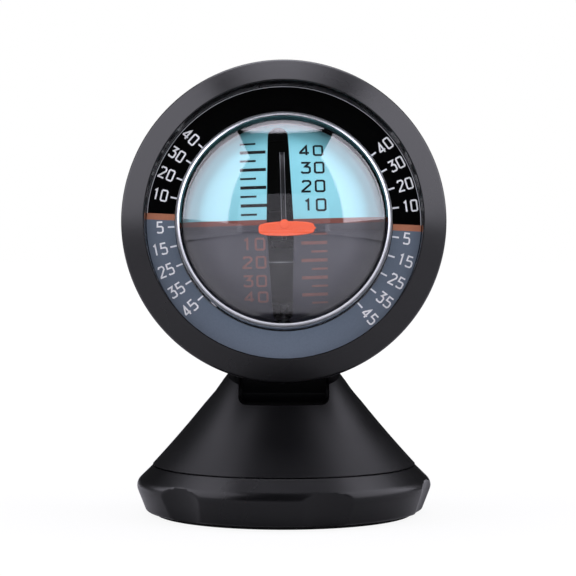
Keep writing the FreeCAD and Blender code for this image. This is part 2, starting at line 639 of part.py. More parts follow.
def cone_shell():
    body = new_body("cone_turned")
    revolve(body, "cone_wall", [
        ("0", FORK_UNDERSIDE),
        (INNER_TOP_RADIUS, FORK_UNDERSIDE),
        ("seam_radius - cone_rim", "seam_height"),
        ("seam_radius", "seam_height"),
        ("cone_top_radius", "cone_top_height", "cone_sweep", 1),
        ("0", "cone_top_height"),
    ])
    sketch = new_sketch(body, "boss_outline", "XY_Plane", BOSS_END)
    draw_circle(sketch, "0", "0", "swivel_boss_radius")
    extrude(body, sketch, "swivel_boss", f"{FORK_UNDERSIDE} - {BOSS_END}")
    sketch = new_sketch(body, "rib_outline", "XZ_Plane")
    draw_outline(sketch, [
        ("swivel_boss_radius - cone_rib", "seam_height + bush_flange_thick + case_gap"),
        ("seam_radius - cone_rim", "seam_height + bush_flange_thick + case_gap"),
        (INNER_TOP_RADIUS, FORK_UNDERSIDE),
        ("swivel_boss_radius - cone_rib", FORK_UNDERSIDE),
    ])
    rib = extrude(body, sketch, "cone_rib_pad", "cone_rib", both=True)
    repeat(body, rib, "rib_count")
    sketch = new_sketch(body, "screw_hole_outline", "XY_Plane", BOSS_END)
    draw_circle(sketch, "0", "0", "swivel_screw_radius")
    extrude(body, sketch, "screw_hole", f"{FORK_UNDERSIDE} - {BOSS_END}", "PartDesign::Pocket", reverse=True)
    slot = new_body("fork_slot")
    sketch = new_sketch(slot, "slot_outline", "XZ_Plane")
    half = "(slot_width / 2)"
    draw_outline(sketch, [
        (f"slot_round - {half}", "slot_floor", "slot_round", -1),
        (f"{half} - slot_round", "slot_floor"),
        (half, "slot_floor + slot_round", "slot_round", -1),
        (half, "cone_top_height + overrun"),
        (f"-{half}", "cone_top_height + overrun"),
        (f"-{half}", "slot_floor + slot_round"),
    ])
    extrude(slot, sketch, "slot_block", "seam_radius * 2", both=True)
    trough = primitive("Part::Cylinder", "trough_tool", Radius=TROUGH_RADIUS, Height="slot_width")
    trough.Placement = Placement(Vector(size("-slot_width / 2"), 0, size("hinge_height")), along_x())
    pin = primitive("Part::Cylinder", "pin_hole_tool", Radius="hinge_pin_radius", Height="seam_radius * 2")
    pin.Placement = Placement(Vector(size("-seam_radius"), 0, size("hinge_height")), along_x())
    head = primitive("Part::Cylinder", "head_pocket_tool", Radius="hinge_head_radius + screw_gap",
                     Height="seam_radius")
    head.Placement = Placement(Vector(size("hinge_head_seat"), 0, size("hinge_height")), along_x())
    nut = primitive("Part::Prism", "nut_pocket_tool", Circumradius="(nut_flats / 2 + screw_gap) / cos(30)",
                    Height="seam_radius")
    nut.Placement = Placement(Vector(size("-hinge_head_seat"), 0, size("hinge_height")), against_x())
    reliefs = [fork_relief(side) for side in (-1, 1)]
    tools = fuse("fork_tools", slot, trough, pin, head, nut, *reliefs)
    result = cut("cone_shell", body, tools)
    stand(result)


def fork_relief(side):
    """A block that slopes the fork's top down to the front or the rear."""
    block = primitive("Part::Box", f"fork_relief_{side + 1}", Length="seam_radius * 2", Width="seam_radius",
                      Height="seam_radius")
    slope = Rotation(Vector(1, 0, 0), -side * size("relief_angle"))
    if side < 0:
        slope = slope.multiply(Rotation(Vector(0, 0, 1), HALF_TURN))
    start = Vector(size("-seam_radius") * side, side * size("relief_start"), size("cone_top_height"))
    block.Placement = Placement(start, slope)
    return block


def along_x():
    """Turns a tool's Z axis to point along +X."""
    return Rotation(Vector(0, 1, 0), QUARTER_TURN)


def against_x():
    """Turns a tool's Z axis to point along -X, with a flat of a hexagon upward."""
    return Rotation(Vector(0, 1, 0), -QUARTER_TURN).multiply(Rotation(Vector(0, 0, 1), QUARTER_TURN / 3))


def swivel_ring():
    body = new_body("swivel_ring")
    inner = f"{SLIP_OUTER} - slip_ring_width"
    revolve(body, "slip_ring", [
        (inner, DECK_TOP),
        (SLIP_OUTER, DECK_TOP),
        (SLIP_OUTER, "seam_height - slip_gap / 2"),
        (inner, "seam_height - slip_gap / 2"),
    ])
    stand(body)


def swivel_washer():
    body = new_body("swivel_washer")
    revolve(body, "washer_turned", [
        ("swivel_screw_radius + screw_gap", f"{BOSS_END} - swivel_washer_thick"),
        ("swivel_washer_radius", f"{BOSS_END} - swivel_washer_thick"),
        ("swivel_washer_radius", BOSS_END),
        ("swivel_screw_radius + screw_gap", BOSS_END),
    ])
    stand(body)


def spring_washer():
    """A ring of spring strip in three waves between the deck and the washer."""
    inner = size(BUSH_OUTER)
    outer = size("swivel_washer_radius")
    thick = size("wave_thick")
    low = size(BOSS_END)
    rise = size("wave_rise") - thick
    waves = size("wave_count")
    points_per_wave = 8
    steps = int(waves) * points_per_wave
    edges = []
    for radius, lift in ((inner, 0), (outer, 0), (outer, thick), (inner, thick)):
        points = []
        for index in range(steps):
            turn = 2 * math.pi * index / steps
            height = low + lift + rise * (1 - math.cos(waves * turn)) / 2
            points.append(Vector(radius * math.cos(turn), radius * math.sin(turn), height))
        curve = Part.BSplineCurve()
        curve.interpolate(points, PeriodicFlag=True)
        edges.append(curve.toShape())
    faces = [Part.makeRuledSurface(edges[index], edges[(index + 1) % 4]) for index in range(4)]
    solid = Part.Solid(Part.Shell(faces))
    if solid.Volume < 0:
        solid.reverse()
    stand(plain_feature("spring_washer", solid))


def swivel_screw():
    one = screw_shape(size("swivel_screw_radius"), size("swivel_screw_length"),
                      size("swivel_screw_head"), size("screw_head_thick"))
    one = one.rotated(Vector(0, 0, 0), Vector(1, 0, 0), HALF_TURN)
    one = one.translated(Vector(0, 0, size(f"{BOSS_END} - swivel_washer_thick")))
    stand(plain_feature("swivel_screw", one))


def hinge_screw():
    seat = size("hinge_head_seat")
    one = screw_shape(size("hinge_pin_radius"), size("hinge_head_seat * 2 + nut_thick"),
                      size("hinge_head_radius"), size("hinge_head_thick"))
    one = one.rotated(Vector(0, 0, 0), Vector(0, 1, 0), QUARTER_TURN)
    stand(plain_feature("hinge_screw", one.translated(Vector(seat, 0, size("hinge_height")))))


def hinge_nut():
    nut = primitive("Part::Prism", "nut_blank", Circumradius="nut_flats / 2 / cos(30)", Height="nut_thick")
    hole = primitive("Part::Cylinder", "nut_hole", Radius="hinge_pin_radius", Height="nut_thick")
    result = stand(cut("hinge_nut", nut, hole))
    result.Placement = Placement(Vector(size("-hinge_head_seat"), 0, size("hinge_height")), against_x())


def hinge_washers():
    thick = size("washer_thick")
    inner = size("hinge_pin_radius + running_gap")
    ring = Part.makeCylinder(size("washer_radius"), thick).cut(Part.makeCylinder(inner, thick))
    ring = ring.rotated(Vector(0, 0, 0), Vector(0, 1, 0), QUARTER_TURN)
    half = size("slot_width / 2")
    height = size("hinge_height")
    pair = [ring.translated(Vector(half - thick, 0, height)), ring.translated(Vector(-half, 0, height))]
    stand(plain_feature("hinge_washers", Part.makeCompound(pair)))


# Head

CASE_FRONT = "bezel_back"
BOWL_FRONT = "(bezel_back - case_wall)"
HEAD_CLEAR = "(slot_width / 2 - washer_thick - slip_gap)"
DIAL_BACK = "(dial_forward - dial_thick)"
SHELF_FRONT = "(dial_forward - dial_thick - flange_thick)"
SHELF_BACK = "(dial_forward - dial_thick - flange_thick - shelf_thick)"
POST_FRONT = f"({SHELF_BACK} - bezel_boss_length - slip_gap)"


def bowl(name, inset, front):
    """The case's bowl, turned about Z, drawn smaller all round by the inset."""
    body = new_body(name)
    revolve(body, name + "_turned", [
        ("0", f"-case_back + {inset}"),
        (f"case_back_radius - {inset} * tan(22.5)", f"-case_back + {inset}"),
        (f"case_corner_radius - {inset} * cos(45)", f"-case_corner_back + {inset} * sin(45)",
         f"case_corner_round - {inset} / 2", -1),
        (f"case_radius - {inset}", BOWL_FRONT, "case_sweep", -1),
        (f"case_radius - {inset}", front),
        ("0", front),
    ])
    return body


def rear_case():
    outer = bowl("case_outside", "0", CASE_FRONT)
    lip = new_body("case_lip")
    revolve(lip, "lip_ring", [
        ("groove_radius + slip_gap", BOWL_FRONT),
        ("groove_radius + groove_width - slip_gap", BOWL_FRONT),
        ("groove_radius + groove_width - slip_gap", "bezel_back + groove_depth - slip_gap"),
        ("groove_radius + slip_gap", "bezel_back + groove_depth - slip_gap"),
    ])
    inside = bowl("case_inside", "case_wall", "bezel_back + groove_depth")
    bosses = new_body("case_bosses")
    sketch = new_sketch(bosses, "case_boss_outline", "XY_Plane", "-case_back")
    draw_circle(sketch, "0", "0", "tube_radius")
    extrude(bosses, sketch, "bearing_tube", "case_back - tube_front")
    sketch = new_sketch(bosses, "tube_root_outline", "XY_Plane", "-case_back")
    draw_circle(sketch, "0", "0", "tube_root_radius")
    extrude(bosses, sketch, "tube_root", "tube_root_length")
    posts = plain_feature("case_posts", Part.Shape())
    back = Vector(0, 0, size("-case_back"))
    circle = (size("case_screw_circle"), size("case_screw_count"), QUARTER_TURN / 2)
    post = Part.makeCylinder(size("case_boss_radius"), size(f"case_back + {POST_FRONT}"), back)
    posts.Shape = ring_of(post, *circle)
    kept = fuse("case_kept", bosses, posts)
    hollow = cut("case_hollow", inside, kept)
    holes = plain_feature("case_holes", Part.Shape())
    clear = size("screw_radius + screw_gap")
    drill = Part.makeCylinder(clear, size("case_back + overrun"), back)
    head_room = size("screw_head_radius + screw_gap")
    pocket = Part.makeCylinder(head_room, size("case_back - case_screw_seat"), back)
    bore = Part.makeCylinder(size("bush_radius"), size("case_back"), back)
    recess = Part.makeCylinder(size("rear_recess_radius"), size("rear_recess_depth"), back)
    tools = [ring_of(drill.fuse(pocket), *circle), bore.fuse(recess)]
    for side in (-1, 1):
        outside = Vector(0, 0, size("-case_wall"))
        neck_hole = Part.makeCylinder(clear, size("case_wall + neck_screw_wall"), outside)
        spot_face = Part.makeCylinder(head_room, size("case_wall"))
        neck_hole = neck_hole.fuse(spot_face)
        neck_hole.Placement = neck_screw_place(side)
        tools.append(neck_hole)
    holes.Shape = Part.makeCompound(tools)
    whole = fuse("case_whole", outer, lip)
    hollowed = cut("case_hollowed", whole, hollow)
    result = cut("rear_case", hollowed, holes)
    lean(result)


def bezel():
    body = new_body("bezel_turned")
    groove_outer = "(groove_radius + groove_width)"
    revolve(body, "bezel_ring", [
        ("shelf_radius", SHELF_BACK),
        ("recess_radius", SHELF_BACK),
        ("recess_radius", "bezel_back"),
        ("groove_radius", "bezel_back"),
        ("groove_radius", "bezel_back + groove_depth"),
        (groove_outer, "bezel_back + groove_depth"),
        (groove_outer, "bezel_back"),
        ("rim_radius - bezel_taper", "bezel_back"),
        ("rim_radius", "rim_forward"),
        ("crest_radius + crest_round", "crest_forward"),
        ("recess_radius", "crest_forward"),
        ("recess_radius", SHELF_FRONT),
        ("shelf_radius", SHELF_FRONT),
    ])
    round_edges(body, "rim_rounding", "rim_round", circle_at("rim_radius", "rim_forward"))
    round_edges(body, "crest_rounding", "crest_round", circle_at("recess_radius", "crest_forward"))
    crest_outside = circle_at("crest_radius + crest_round", "crest_forward")
    round_edges(body, "crest_outer_rounding", "crest_round", crest_outside)
    doc.recompute()
    bosses = plain_feature("bezel_bosses", Part.Shape())
    top = size(SHELF_BACK)
    length = size("bezel_boss_length")
    boss = Part.makeCylinder(size("bezel_boss_radius"), length, Vector(0, 0, top - length))
    bosses.Shape = ring_of(boss, size("case_screw_circle"), size("case_screw_count"), QUARTER_TURN / 2)
    whole = fuse("bezel_whole", body, bosses)
    holes = plain_feature("bezel_holes", Part.Shape())
    hole = Part.makeCylinder(size("screw_radius"), length, Vector(0, 0, top - length))
    holes.Shape = ring_of(hole, size("case_screw_circle"), size("case_screw_count"), QUARTER_TURN / 2)
    lean(cut("bezel", whole, holes))


def case_screws():
    seat = size("case_screw_seat")
    tip = size(f"{SHELF_BACK} - case_gap")
    one = screw_shape(size("screw_radius"), seat + tip, size("screw_head_radius"), size("screw_head_thick"))
    one = one.rotated(Vector(0, 0, 0), Vector(1, 0, 0), HALF_TURN).translated(Vector(0, 0, -seat))
    group = ring_of(one, size("case_screw_circle"), size("case_screw_count"), QUARTER_TURN / 2)
    lean(plain_feature("case_screws", group))


def dial_ring():
    body = new_body("dial_ring")
    revolve(body, "dial_turned", [
        ("dial_hole", DIAL_BACK),
        ("dial_outer", DIAL_BACK),
        ("dial_outer", "dial_forward"),
        ("dial_hole", "dial_forward"),
    ])
    lean(body)


def dome_lens():
    """A flattened front on a tapered side wall, with a rounded shoulder between them."""
    body = new_body("dome_lens")
    middle = "(dome_reach - dome_sweep)"
    inner = "(dome_sweep - dome_wall)"
    shoulder_inside = "(dome_shoulder - dome_wall)"
    shoulder_height = f"({middle} + sqrt(dome_sweep * dome_sweep - dome_shoulder * dome_shoulder))"
    height_inside = f"{middle} + sqrt({inner} * {inner} - {shoulder_inside} * {shoulder_inside})"
    revolve(body, "dome_turned", [
        ("dome_side - dome_wall", SHELF_FRONT),
        ("dial_outer", SHELF_FRONT),
        ("dial_outer", DIAL_BACK),
        ("dome_side", DIAL_BACK),
        ("dome_shoulder", shoulder_height),
        ("0", "dome_reach", "dome_sweep", -1),
        ("0", "dome_reach - dome_wall"),
        (shoulder_inside, height_inside, inner, 1),
    ])
    round_edges(body, "shoulder_blend", "dome_shoulder_round", circle_at("dome_shoulder", shoulder_height))
    lean(body)


def rear_cap():
    body = new_body("rear_cap")
    revolve(body, "cap_turned", [
        ("0", "-case_back - cap_thick"),
        ("rear_recess_radius + cap_lip - cap_thick / 2", "-case_back - cap_thick"),
        ("rear_recess_radius + cap_lip", "-case_back"),
        ("rear_recess_radius - slip_gap", "-case_back"),
        ("rear_recess_radius - slip_gap", "rear_recess_depth - case_back - case_gap"),
        ("rear_recess_radius - cap_lip", "rear_recess_depth - case_back - case_gap"),
        ("rear_recess_radius - cap_lip", "-case_back"),
        ("0", "-case_back"),
    ])
    lean(body)


def neck_bracket():
    """The tongue between the fork's cheeks, trimmed to the bowl it is screwed to."""
    body = new_body("neck_blank")
    sketch = new_sketch(body, "neck_outline", "YZ_Plane")
    draw_outline(sketch, [
        ("-eye_radius", "hinge_height"),
        ("eye_radius", "hinge_height", "eye_radius", -1),
        ("neck_rear_reach", "neck_top"),
        ("-neck_front_reach", "neck_top"),
    ])
    extrude(body, sketch, "neck_block", f"{HEAD_CLEAR} * 2", both=True)
    hole = primitive("Part::Cylinder", "neck_pin_hole", Radius="hinge_pin_radius + running_gap",
                     Height="slot_width")
    hole.Placement = Placement(Vector(size("-slot_width / 2"), 0, size("hinge_height")), along_x())
    saddle = set_in_head(bowl("neck_saddle", "0", CASE_FRONT))
    drills = []
    for side in (-1, 1):
        deep = "neck_screw_wall + neck_screw_bite + screw_gap"
        drill = primitive("Part::Cylinder", f"neck_drill_{side + 1}", Radius="screw_radius", Height=deep)
        start = Placement(Vector(0, 0, size(f"-({deep})")), Rotation())
        drill.Placement = head_place().multiply(neck_screw_place(side)).multiply(start)
        drills.append(drill)
    tools = fuse("neck_tools", hole, saddle, *drills)
    stand(cut("neck_bracket", body, tools))


def neck_screw_place(side):
    """In the head's frame, where a neck screw's head sits in the bowl, with +Z into the case."""
    arc = arc_between(Vector(size("case_corner_radius"), size("-case_corner_back"), 0),
                      Vector(size("case_radius"), size(BOWL_FRONT), 0), size("case_sweep"), -1)
    back = size("neck_screw_back")
    outside = arc.Center.x + math.sqrt(arc.Radius ** 2 - (back + arc.Center.y) ** 2)
    across = side * size("neck_screw_spread")
    low = size("neck_screw_wall") - math.sqrt(outside ** 2 - across ** 2)
    seat = Vector(across, low, -back)
    return Placement(seat, Rotation(Vector(1, 0, 0), -QUARTER_TURN))


def neck_screws():
    one = screw_shape(size("screw_radius"), size("neck_screw_wall + neck_screw_bite"),
                      size("screw_head_radius"), size("screw_head_thick"))
    pair = []
    for side in (-1, 1):
        screw = one.copy()
        screw.Placement = neck_screw_place(side)
        pair.append(screw)
    lean(plain_feature("neck_screws", Part.makeCompound(pair)))


# Roll frame

TUBE_BACK = "(case_back - rear_recess_depth)"


def shaft_bushes():
    length = size("bush_length")
    bush = Part.makeCylinder(size("bush_radius"), length)
    bush = bush.cut(Part.makeCylinder(size("shaft_radius + running_gap"), length))
    front = bush.translated(Vector(0, 0, size("-tube_front - bush_length")))
    rear = bush.translated(Vector(0, 0, size(f"-{TUBE_BACK}")))
    lean(plain_feature("shaft_bushes", Part.makeCompound([front, rear])))


def roll_shaft():
    tail = f"{TUBE_BACK} + slip_gap + clip_thick + shaft_tail"
    shaft = primitive("Part::Cylinder", "roll_shaft", Radius="shaft_radius", Height=f"{tail} - hub_radius")
    PARTS.append(shaft)
    lift = Placement(Vector(0, 0, size(f"-({tail})")), Rotation())
    shaft.Placement = head_place(roll=True).multiply(lift)


def on_shaft(name, radius, length, back):
    """A ring fixed on the roll shaft; back is the distance of its front face."""
    body = new_body(name)
    revolve(body, name + "_turned", [
        ("shaft_radius", f"-({back}) - {length}"),
        (radius, f"-({back}) - {length}"),
        (radius, f"-({back})"),
        ("shaft_radius", f"-({back})"),
    ])
    lean(body, roll=True)


def roll_hub():
    """A cross hub: the axle goes through it, the arm's eye sits in its slot."""
    barrel = primitive("Part::Cylinder", "hub_barrel", Radius="hub_radius", Height="hub_half_width * 2")
    barrel.Placement = Placement(Vector(size("-hub_half_width"), 0, 0), along_x())
    neck = primitive("Part::Cylinder", "hub_neck", Radius="hub_neck_radius", Height="hub_neck_length")
    tilt = Rotation(Vector(1, 0, 0), size("-lean_angle"))
    neck.Placement = Placement(tilt.multVec(Vector(0, 0, size("-hub_neck_length"))), tilt)
    bore = primitive("Part::Cylinder", "hub_bore", Radius="shaft_radius",
                     Height="hub_neck_length - hub_radius")
    bore.Placement = neck.Placement
    across = primitive("Part::Cylinder", "hub_cross_bore", Radius="axle_radius", Height="hub_half_width * 2")
    across.Placement = barrel.Placement
    gap = primitive("Part::Box", "hub_slot", Length="arm_thick", Width="hub_radius * 2",
                    Height="hub_radius + eye_flat")
    corner = Vector(size("-arm_thick / 2"), size("-hub_radius"), size("-eye_flat"))
    gap.Placement = Placement(corner, Rotation())
    lean(cut("roll_hub", fuse("hub_whole", barrel, neck), fuse("hub_tools", bore, across, gap)),
         level=True, roll=True)


def pitch_axle():
    axle = primitive("Part::Cylinder", "pitch_axle", Radius="axle_radius", Height="axle_reach * 2")
    PARTS.append(axle)
    across = Placement(Vector(size("-axle_reach"), 0, 0), along_x())
    axle.Placement = head_place(level=True, roll=True).multiply(across)


def pointer_arm():
    """A sickle blade, drawn with X forward and Y up: eye, spoke, curved band and foot."""
    thick = "arm_thick"
    foot = "(arm_foot / 2 / arm_outer * 180 / pi)"
    band = primitive("Part::Cylinder", "arm_disc", Radius="arm_outer", Height=thick,
                     Angle=f"arm_rise + pointer_drop + {foot}")
    band.Placement = Placement(Vector(0, 0, 0), Rotation(Vector(0, 0, 1), size(f"-pointer_drop - {foot}")))
    inner = primitive("Part::Cylinder", "arm_disc_inside", Radius="arm_outer - arm_band", Height=thick)
    curve = cut("arm_band_piece", band, inner)
    spoke = primitive("Part::Box", "arm_spoke_bar", Length="arm_outer - arm_band / 2", Width="arm_spoke",
                      Height=thick)
    rise = Rotation(Vector(0, 0, 1), size("arm_rise"))
    spoke.Placement = Placement(rise.multVec(Vector(0, size("-arm_spoke"), 0)), rise)
    eye = primitive("Part::Cylinder", "arm_eye", Radius="eye_disc_radius", Height=thick)
    foot_bar = primitive("Part::Box", "arm_foot_bar", Height=thick, Width="arm_foot",
                         Length="ball_radius + pointer_gap + pointer_thick - arm_outer + arm_band")
    drop = Rotation(Vector(0, 0, 1), size("-pointer_drop"))
    start = Vector(size("arm_outer - arm_band"), size("-arm_foot / 2"), 0)
    foot_bar.Placement = Placement(drop.multVec(start), drop)
    hole = primitive("Part::Cylinder", "arm_hole", Radius="axle_radius", Height=thick)
    flat = primitive("Part::Box", "arm_flat", Length="hub_radius", Width="hub_radius * 2", Height=thick)
    flat.Placement = Placement(Vector(size("-eye_flat - hub_radius"), size("-hub_radius"), 0), Rotation())
    limit = primitive("Part::Sphere", "arm_limit", Radius="ball_radius + pointer_gap")
    blade = common("arm_blade", fuse("arm_whole", curve, spoke, eye, foot_bar), limit)
    arm = cut("pointer_arm", blade, fuse("arm_tools", hole, flat))
    PARTS.append(arm)
    side = Placement(Vector(size("arm_thick / 2"), 0, 0), Rotation(Vector(0, 1, 0), -QUARTER_TURN))
    arm.Placement = head_place(level=True, roll=True).multiply(side)


def pointer():
    """The marker in front of the ball: a long shallow lens shape bent to the ball's curve."""
    body = new_body("pointer_blank")
    sketch = new_sketch(body, "pointer_outline", "XY_Plane")
    low = "(-(ball_radius + pointer_gap) * sin(pointer_drop))"
    crown = "(pointer_half_height - pointer_end_height)"
    bow = f"((pointer_half_length^2 + {crown}^2) / (2 * {crown}))"
    left = "(pointer_shift - pointer_half_length)"
    right = "(pointer_shift + pointer_half_length)"
    draw_outline(sketch, [
        (right, f"{low} - pointer_end_height", bow, -1),
        (right, f"{low} + pointer_end_height"),
        (left, f"{low} + pointer_end_height", bow, -1),
        (left, f"{low} - pointer_end_height"),
    ])
    extrude(body, sketch, "pointer_block", "ball_radius + overrun")
    boss = primitive("Part::Box", "pointer_boss_block", Length="pointer_boss * 2",
                     Width="pointer_half_height + pointer_boss_rise", Height="ball_radius + overrun")
    boss.Placement = Placement(Vector(size("-pointer_boss"), size(low), 0), Rotation())
    inside = primitive("Part::Sphere", "pointer_inside", Radius="ball_radius + pointer_gap")
    outside = primitive("Part::Sphere", "pointer_outside", Radius="ball_radius + pointer_gap + pointer_thick")
    blank = common("pointer_curved", fuse("pointer_block_boss", body, boss), outside)
    lean(cut("pointer", blank, inside), level=True, roll=True)


# Ball


def half_space(name, above):
    """A block that holds everything above or below the horizon band."""
    wide = "ball_radius * 2 + overrun"
    block = primitive("Part::Box", name, Length=wide, Width="ball_radius * 2", Height=wide)
    low = size("band_rise + band_half") if above else size("band_rise - band_half - ball_radius * 2")
    block.Placement = Placement(Vector(size(f"-({wide}) / 2"), low, size(f"-({wide}) / 2")), Rotation())
    return block


def ball_tools(name):
    """The cone of the rear opening and the slot in front, fused."""
    deep = "(ball_radius + overrun)"
    opening = primitive("Part::Cone", name + "_opening", Radius1=f"{deep} * tan(ball_opening)", Radius2="0",
                        Height=deep)
    opening.Placement = Placement(Vector(0, 0, size(f"-{deep}")), Rotation())
    body = new_body(name + "_slot")
    sketch = new_sketch(body, name + "_slot_outline", "XY_Plane", "slot_start")
    draw_outline(sketch, [
        ("slot_half_end - slot_shift", "slot_rise + slot_reach"),
        ("-slot_half_end - slot_shift", "slot_rise + slot_reach", "slot_half_end", -1),
        ("-slot_half_middle - slot_shift", "slot_rise"),
        ("-slot_half_end - slot_shift", "slot_rise - slot_reach"),
        ("slot_half_end - slot_shift", "slot_rise - slot_reach", "slot_half_end", -1),
        ("slot_half_middle - slot_shift", "slot_rise"),
    ])
    extrude(body, sketch, name + "_slot_block", deep)
    return fuse(name, opening, body)


def weight_turn():
    """How the weight and its post are turned in the ball so that the ball hangs as drawn."""
    tilt = Rotation(Vector(1, 0, 0), size("weight_tilt"))
    return Rotation(Vector(0, 0, 1), size("-roll_trim")).multiply(tilt)


def downward(tool, start):
    """Points a tool's Z axis down along the post, beginning at a distance below the centre."""
    turn = weight_turn().multiply(Rotation(Vector(1, 0, 0), QUARTER_TURN))
    tool.Placement = Placement(turn.multVec(Vector(0, 0, size(start))), turn)
    return tool


def ball_shell(name, above):
    outside = primitive("Part::Sphere", name + "_outside", Radius="ball_radius")
    inside = primitive("Part::Sphere", name + "_inside", Radius="ball_radius - ball_wall")
    shell = cut(name + "_wall", outside, inside)
    half = common(name + "_half", shell, half_space(name + "_block", above))
    return cut(name + "_open", half, ball_tools(name + "_tools"))


def ball_upper_shell():
    shell = ball_shell("upper", above=True)
    shell.Label = "ball_upper_shell"
    lean(shell, level=True, roll=True)


def ball_lower_shell():
    shell = ball_shell("lower", above=False)
    post = downward(primitive("Part::Cylinder", "post_rod", Radius="weight_post",
                              Height="ball_radius - ball_wall / 2 - weight_post_start"), "weight_post_start")
    ball = primitive("Part::Sphere", "post_seat", Radius="weight_radius")
    hole = downward(primitive("Part::Cylinder", "post_hole", Radius="screw_radius + screw_gap",
                              Height="ball_radius"), "0")
    sink = downward(primitive("Part::Cylinder", "post_sink", Radius="screw_head_radius + screw_gap",
                              Height="ball_radius"), "ball_radius - ball_wall / 2 - screw_head_thick")
    whole = fuse("lower_whole", shell, cut("post_trimmed", post, ball))
    lean(cut("ball_lower_shell", whole, fuse("post_tools", hole, sink)), level=True, roll=True)


def horizon_band():
    """The narrow ring between the shells: two side arcs, each with the boss for the axle."""
    outside = primitive("Part::Sphere", "band_outside", Radius="ball_radius")
    inside = primitive("Part::Sphere", "band_inside", Radius="ball_radius - band_depth")
    ring = cut("band_ring", outside, inside)
    wide = "ball_radius * 2 + overrun"
    slab = primitive("Part::Box", "band_slab", Length=wide, Width="band_half * 2", Height=wide)
    low = Vector(size(f"-({wide}) / 2"), size("band_rise - band_half"), size(f"-({wide}) / 2"))
    slab.Placement = Placement(low, Rotation())
    arcs = cut("band_arcs", common("band_flat", ring, slab), ball_tools("band_tools"))
    end = "(ball_radius - band_depth + axle_radius / 2)"
    bosses = []
    bores = []
    for side, turn in (("right", along_x()), ("left", against_x())):
        boss = primitive("Part::Cylinder", f"axle_boss_{side}", Radius="boss_radius", Height="boss_length")
        boss.Placement = Placement(turn.multVec(Vector(0, 0, size(f"{end} - boss_length"))), turn)
        bosses.append(boss)
        bore = primitive("Part::Cylinder", f"axle_bore_{side}", Radius="axle_radius + running_gap",
                         Height="axle_reach + slip_gap")
        bore.Placement = Placement(Vector(0, 0, 0), turn)
        bores.append(bore)
    whole = fuse("band_whole", arcs, *bosses)
    lean(cut("horizon_band", whole, fuse("band_bores", *bores)), level=True, roll=True)


def counterweight():
    """A slice of a sphere with a slot at the rear that clears the roll shaft."""
    ball = primitive("Part::Sphere", "weight_sphere", Radius="weight_radius")
    wide = "weight_radius * 2"
    block = primitive("Part::Box", "weight_block", Length=wide, Width="weight_radius", Height=wide)
    corner = Vector(size("-weight_radius"), size("-weight_top - weight_radius"), size("-weight_radius"))
    block.Placement = Placement(corner, Rotation())
    slot = primitive("Part::Box", "weight_slot_block", Length="weight_slot", Width=wide, Height=wide)
    fall = Rotation(Vector(1, 0, 0), size("-weight_slot_fall"))
    corner = Vector(size("-weight_slot / 2"), size("-weight_slot / 2"), size("-weight_radius * 2"))
    slot.Placement = Placement(fall.multVec(corner), fall)
    hole = primitive("Part::Cylinder", "weight_hole", Radius="screw_radius", Height="screw_bite + screw_gap")
    turn = Rotation(Vector(1, 0, 0), QUARTER_TURN)
    mouth = Vector(0, 0, size("weight_radius - screw_bite - screw_gap"))
    hole.Placement = Placement(turn.multVec(mouth), turn)
    weight = cut("counterweight", common("weight_slice", ball, block), fuse("weight_tools", slot, hole))
    PARTS.append(weight)
    place = head_place(level=True, roll=True)
    weight.Placement = place.multiply(Placement(Vector(0, 0, 0), weight_turn()))


def weight_screw():
    seat = "(ball_radius - ball_wall / 2 - screw_head_thick)"
    one = screw_shape(size("screw_radius"), size(f"{seat} - weight_radius + screw_bite"),
                      size("screw_head_radius"), size("screw_head_thick"))
    screw = plain_feature("weight_screw", one)
    PARTS.append(screw)
    downward(screw, seat)
    screw.Placement = head_place(level=True, roll=True).multiply(screw.Placement)


# Order of making


def write_parts():
    os.makedirs("parts", exist_ok=True)
    doc.recompute()
    faults = [item.Label for item in doc.Objects if "Invalid" in item.State or "Error" in item.State]
    for part in PARTS:
        if part.Shape.isNull() or not part.Shape.isValid():
            faults.append(part.Label)
    if faults:
        raise RuntimeError("these are not sound: " + ", ".join(faults))
    for part in PARTS:
        part.Shape.exportStep(f"parts/{part.Label}.step")
        print(part.Label, len(part.Shape.Solids), round(part.Shape.Volume, 1))


base_ring()
base_plate()
base_screws()
foot_pad()
swivel_bush()
cone_shell()
swivel_ring()
swivel_washer()
spring_washer()
swivel_screw()
hinge_screw()
hinge_nut()
hinge_washers()
rear_case()
bezel()
case_screws()
dial_ring()
dome_lens()
rear_cap()
neck_bracket()
neck_screws()
shaft_bushes()
roll_shaft()
on_shaft("shaft_collar", "collar_radius", "collar_length", "tube_front - slip_gap - collar_length")
on_shaft("shaft_clip", "clip_radius", "clip_thick", f"{TUBE_BACK} + slip_gap")
roll_hub()
pitch_axle()
pointer_arm()
pointer()
ball_upper_shell()
ball_lower_shell()
horizon_band()
counterweight()
weight_screw()
write_parts()
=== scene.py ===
# %% [markdown]
# # A dashboard inclinometer
# A weighted ball hangs in a clear dome. Its horizon stays level while the car pitches, and a small
# orange pointer shows the angle. A ring of degrees round the dome shows the roll. The script loads
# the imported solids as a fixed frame, and then dresses each body with finer pieces and with materials.

# %% Load the frame
import math

import bmesh
import bpy
from mathutils import Matrix, Vector


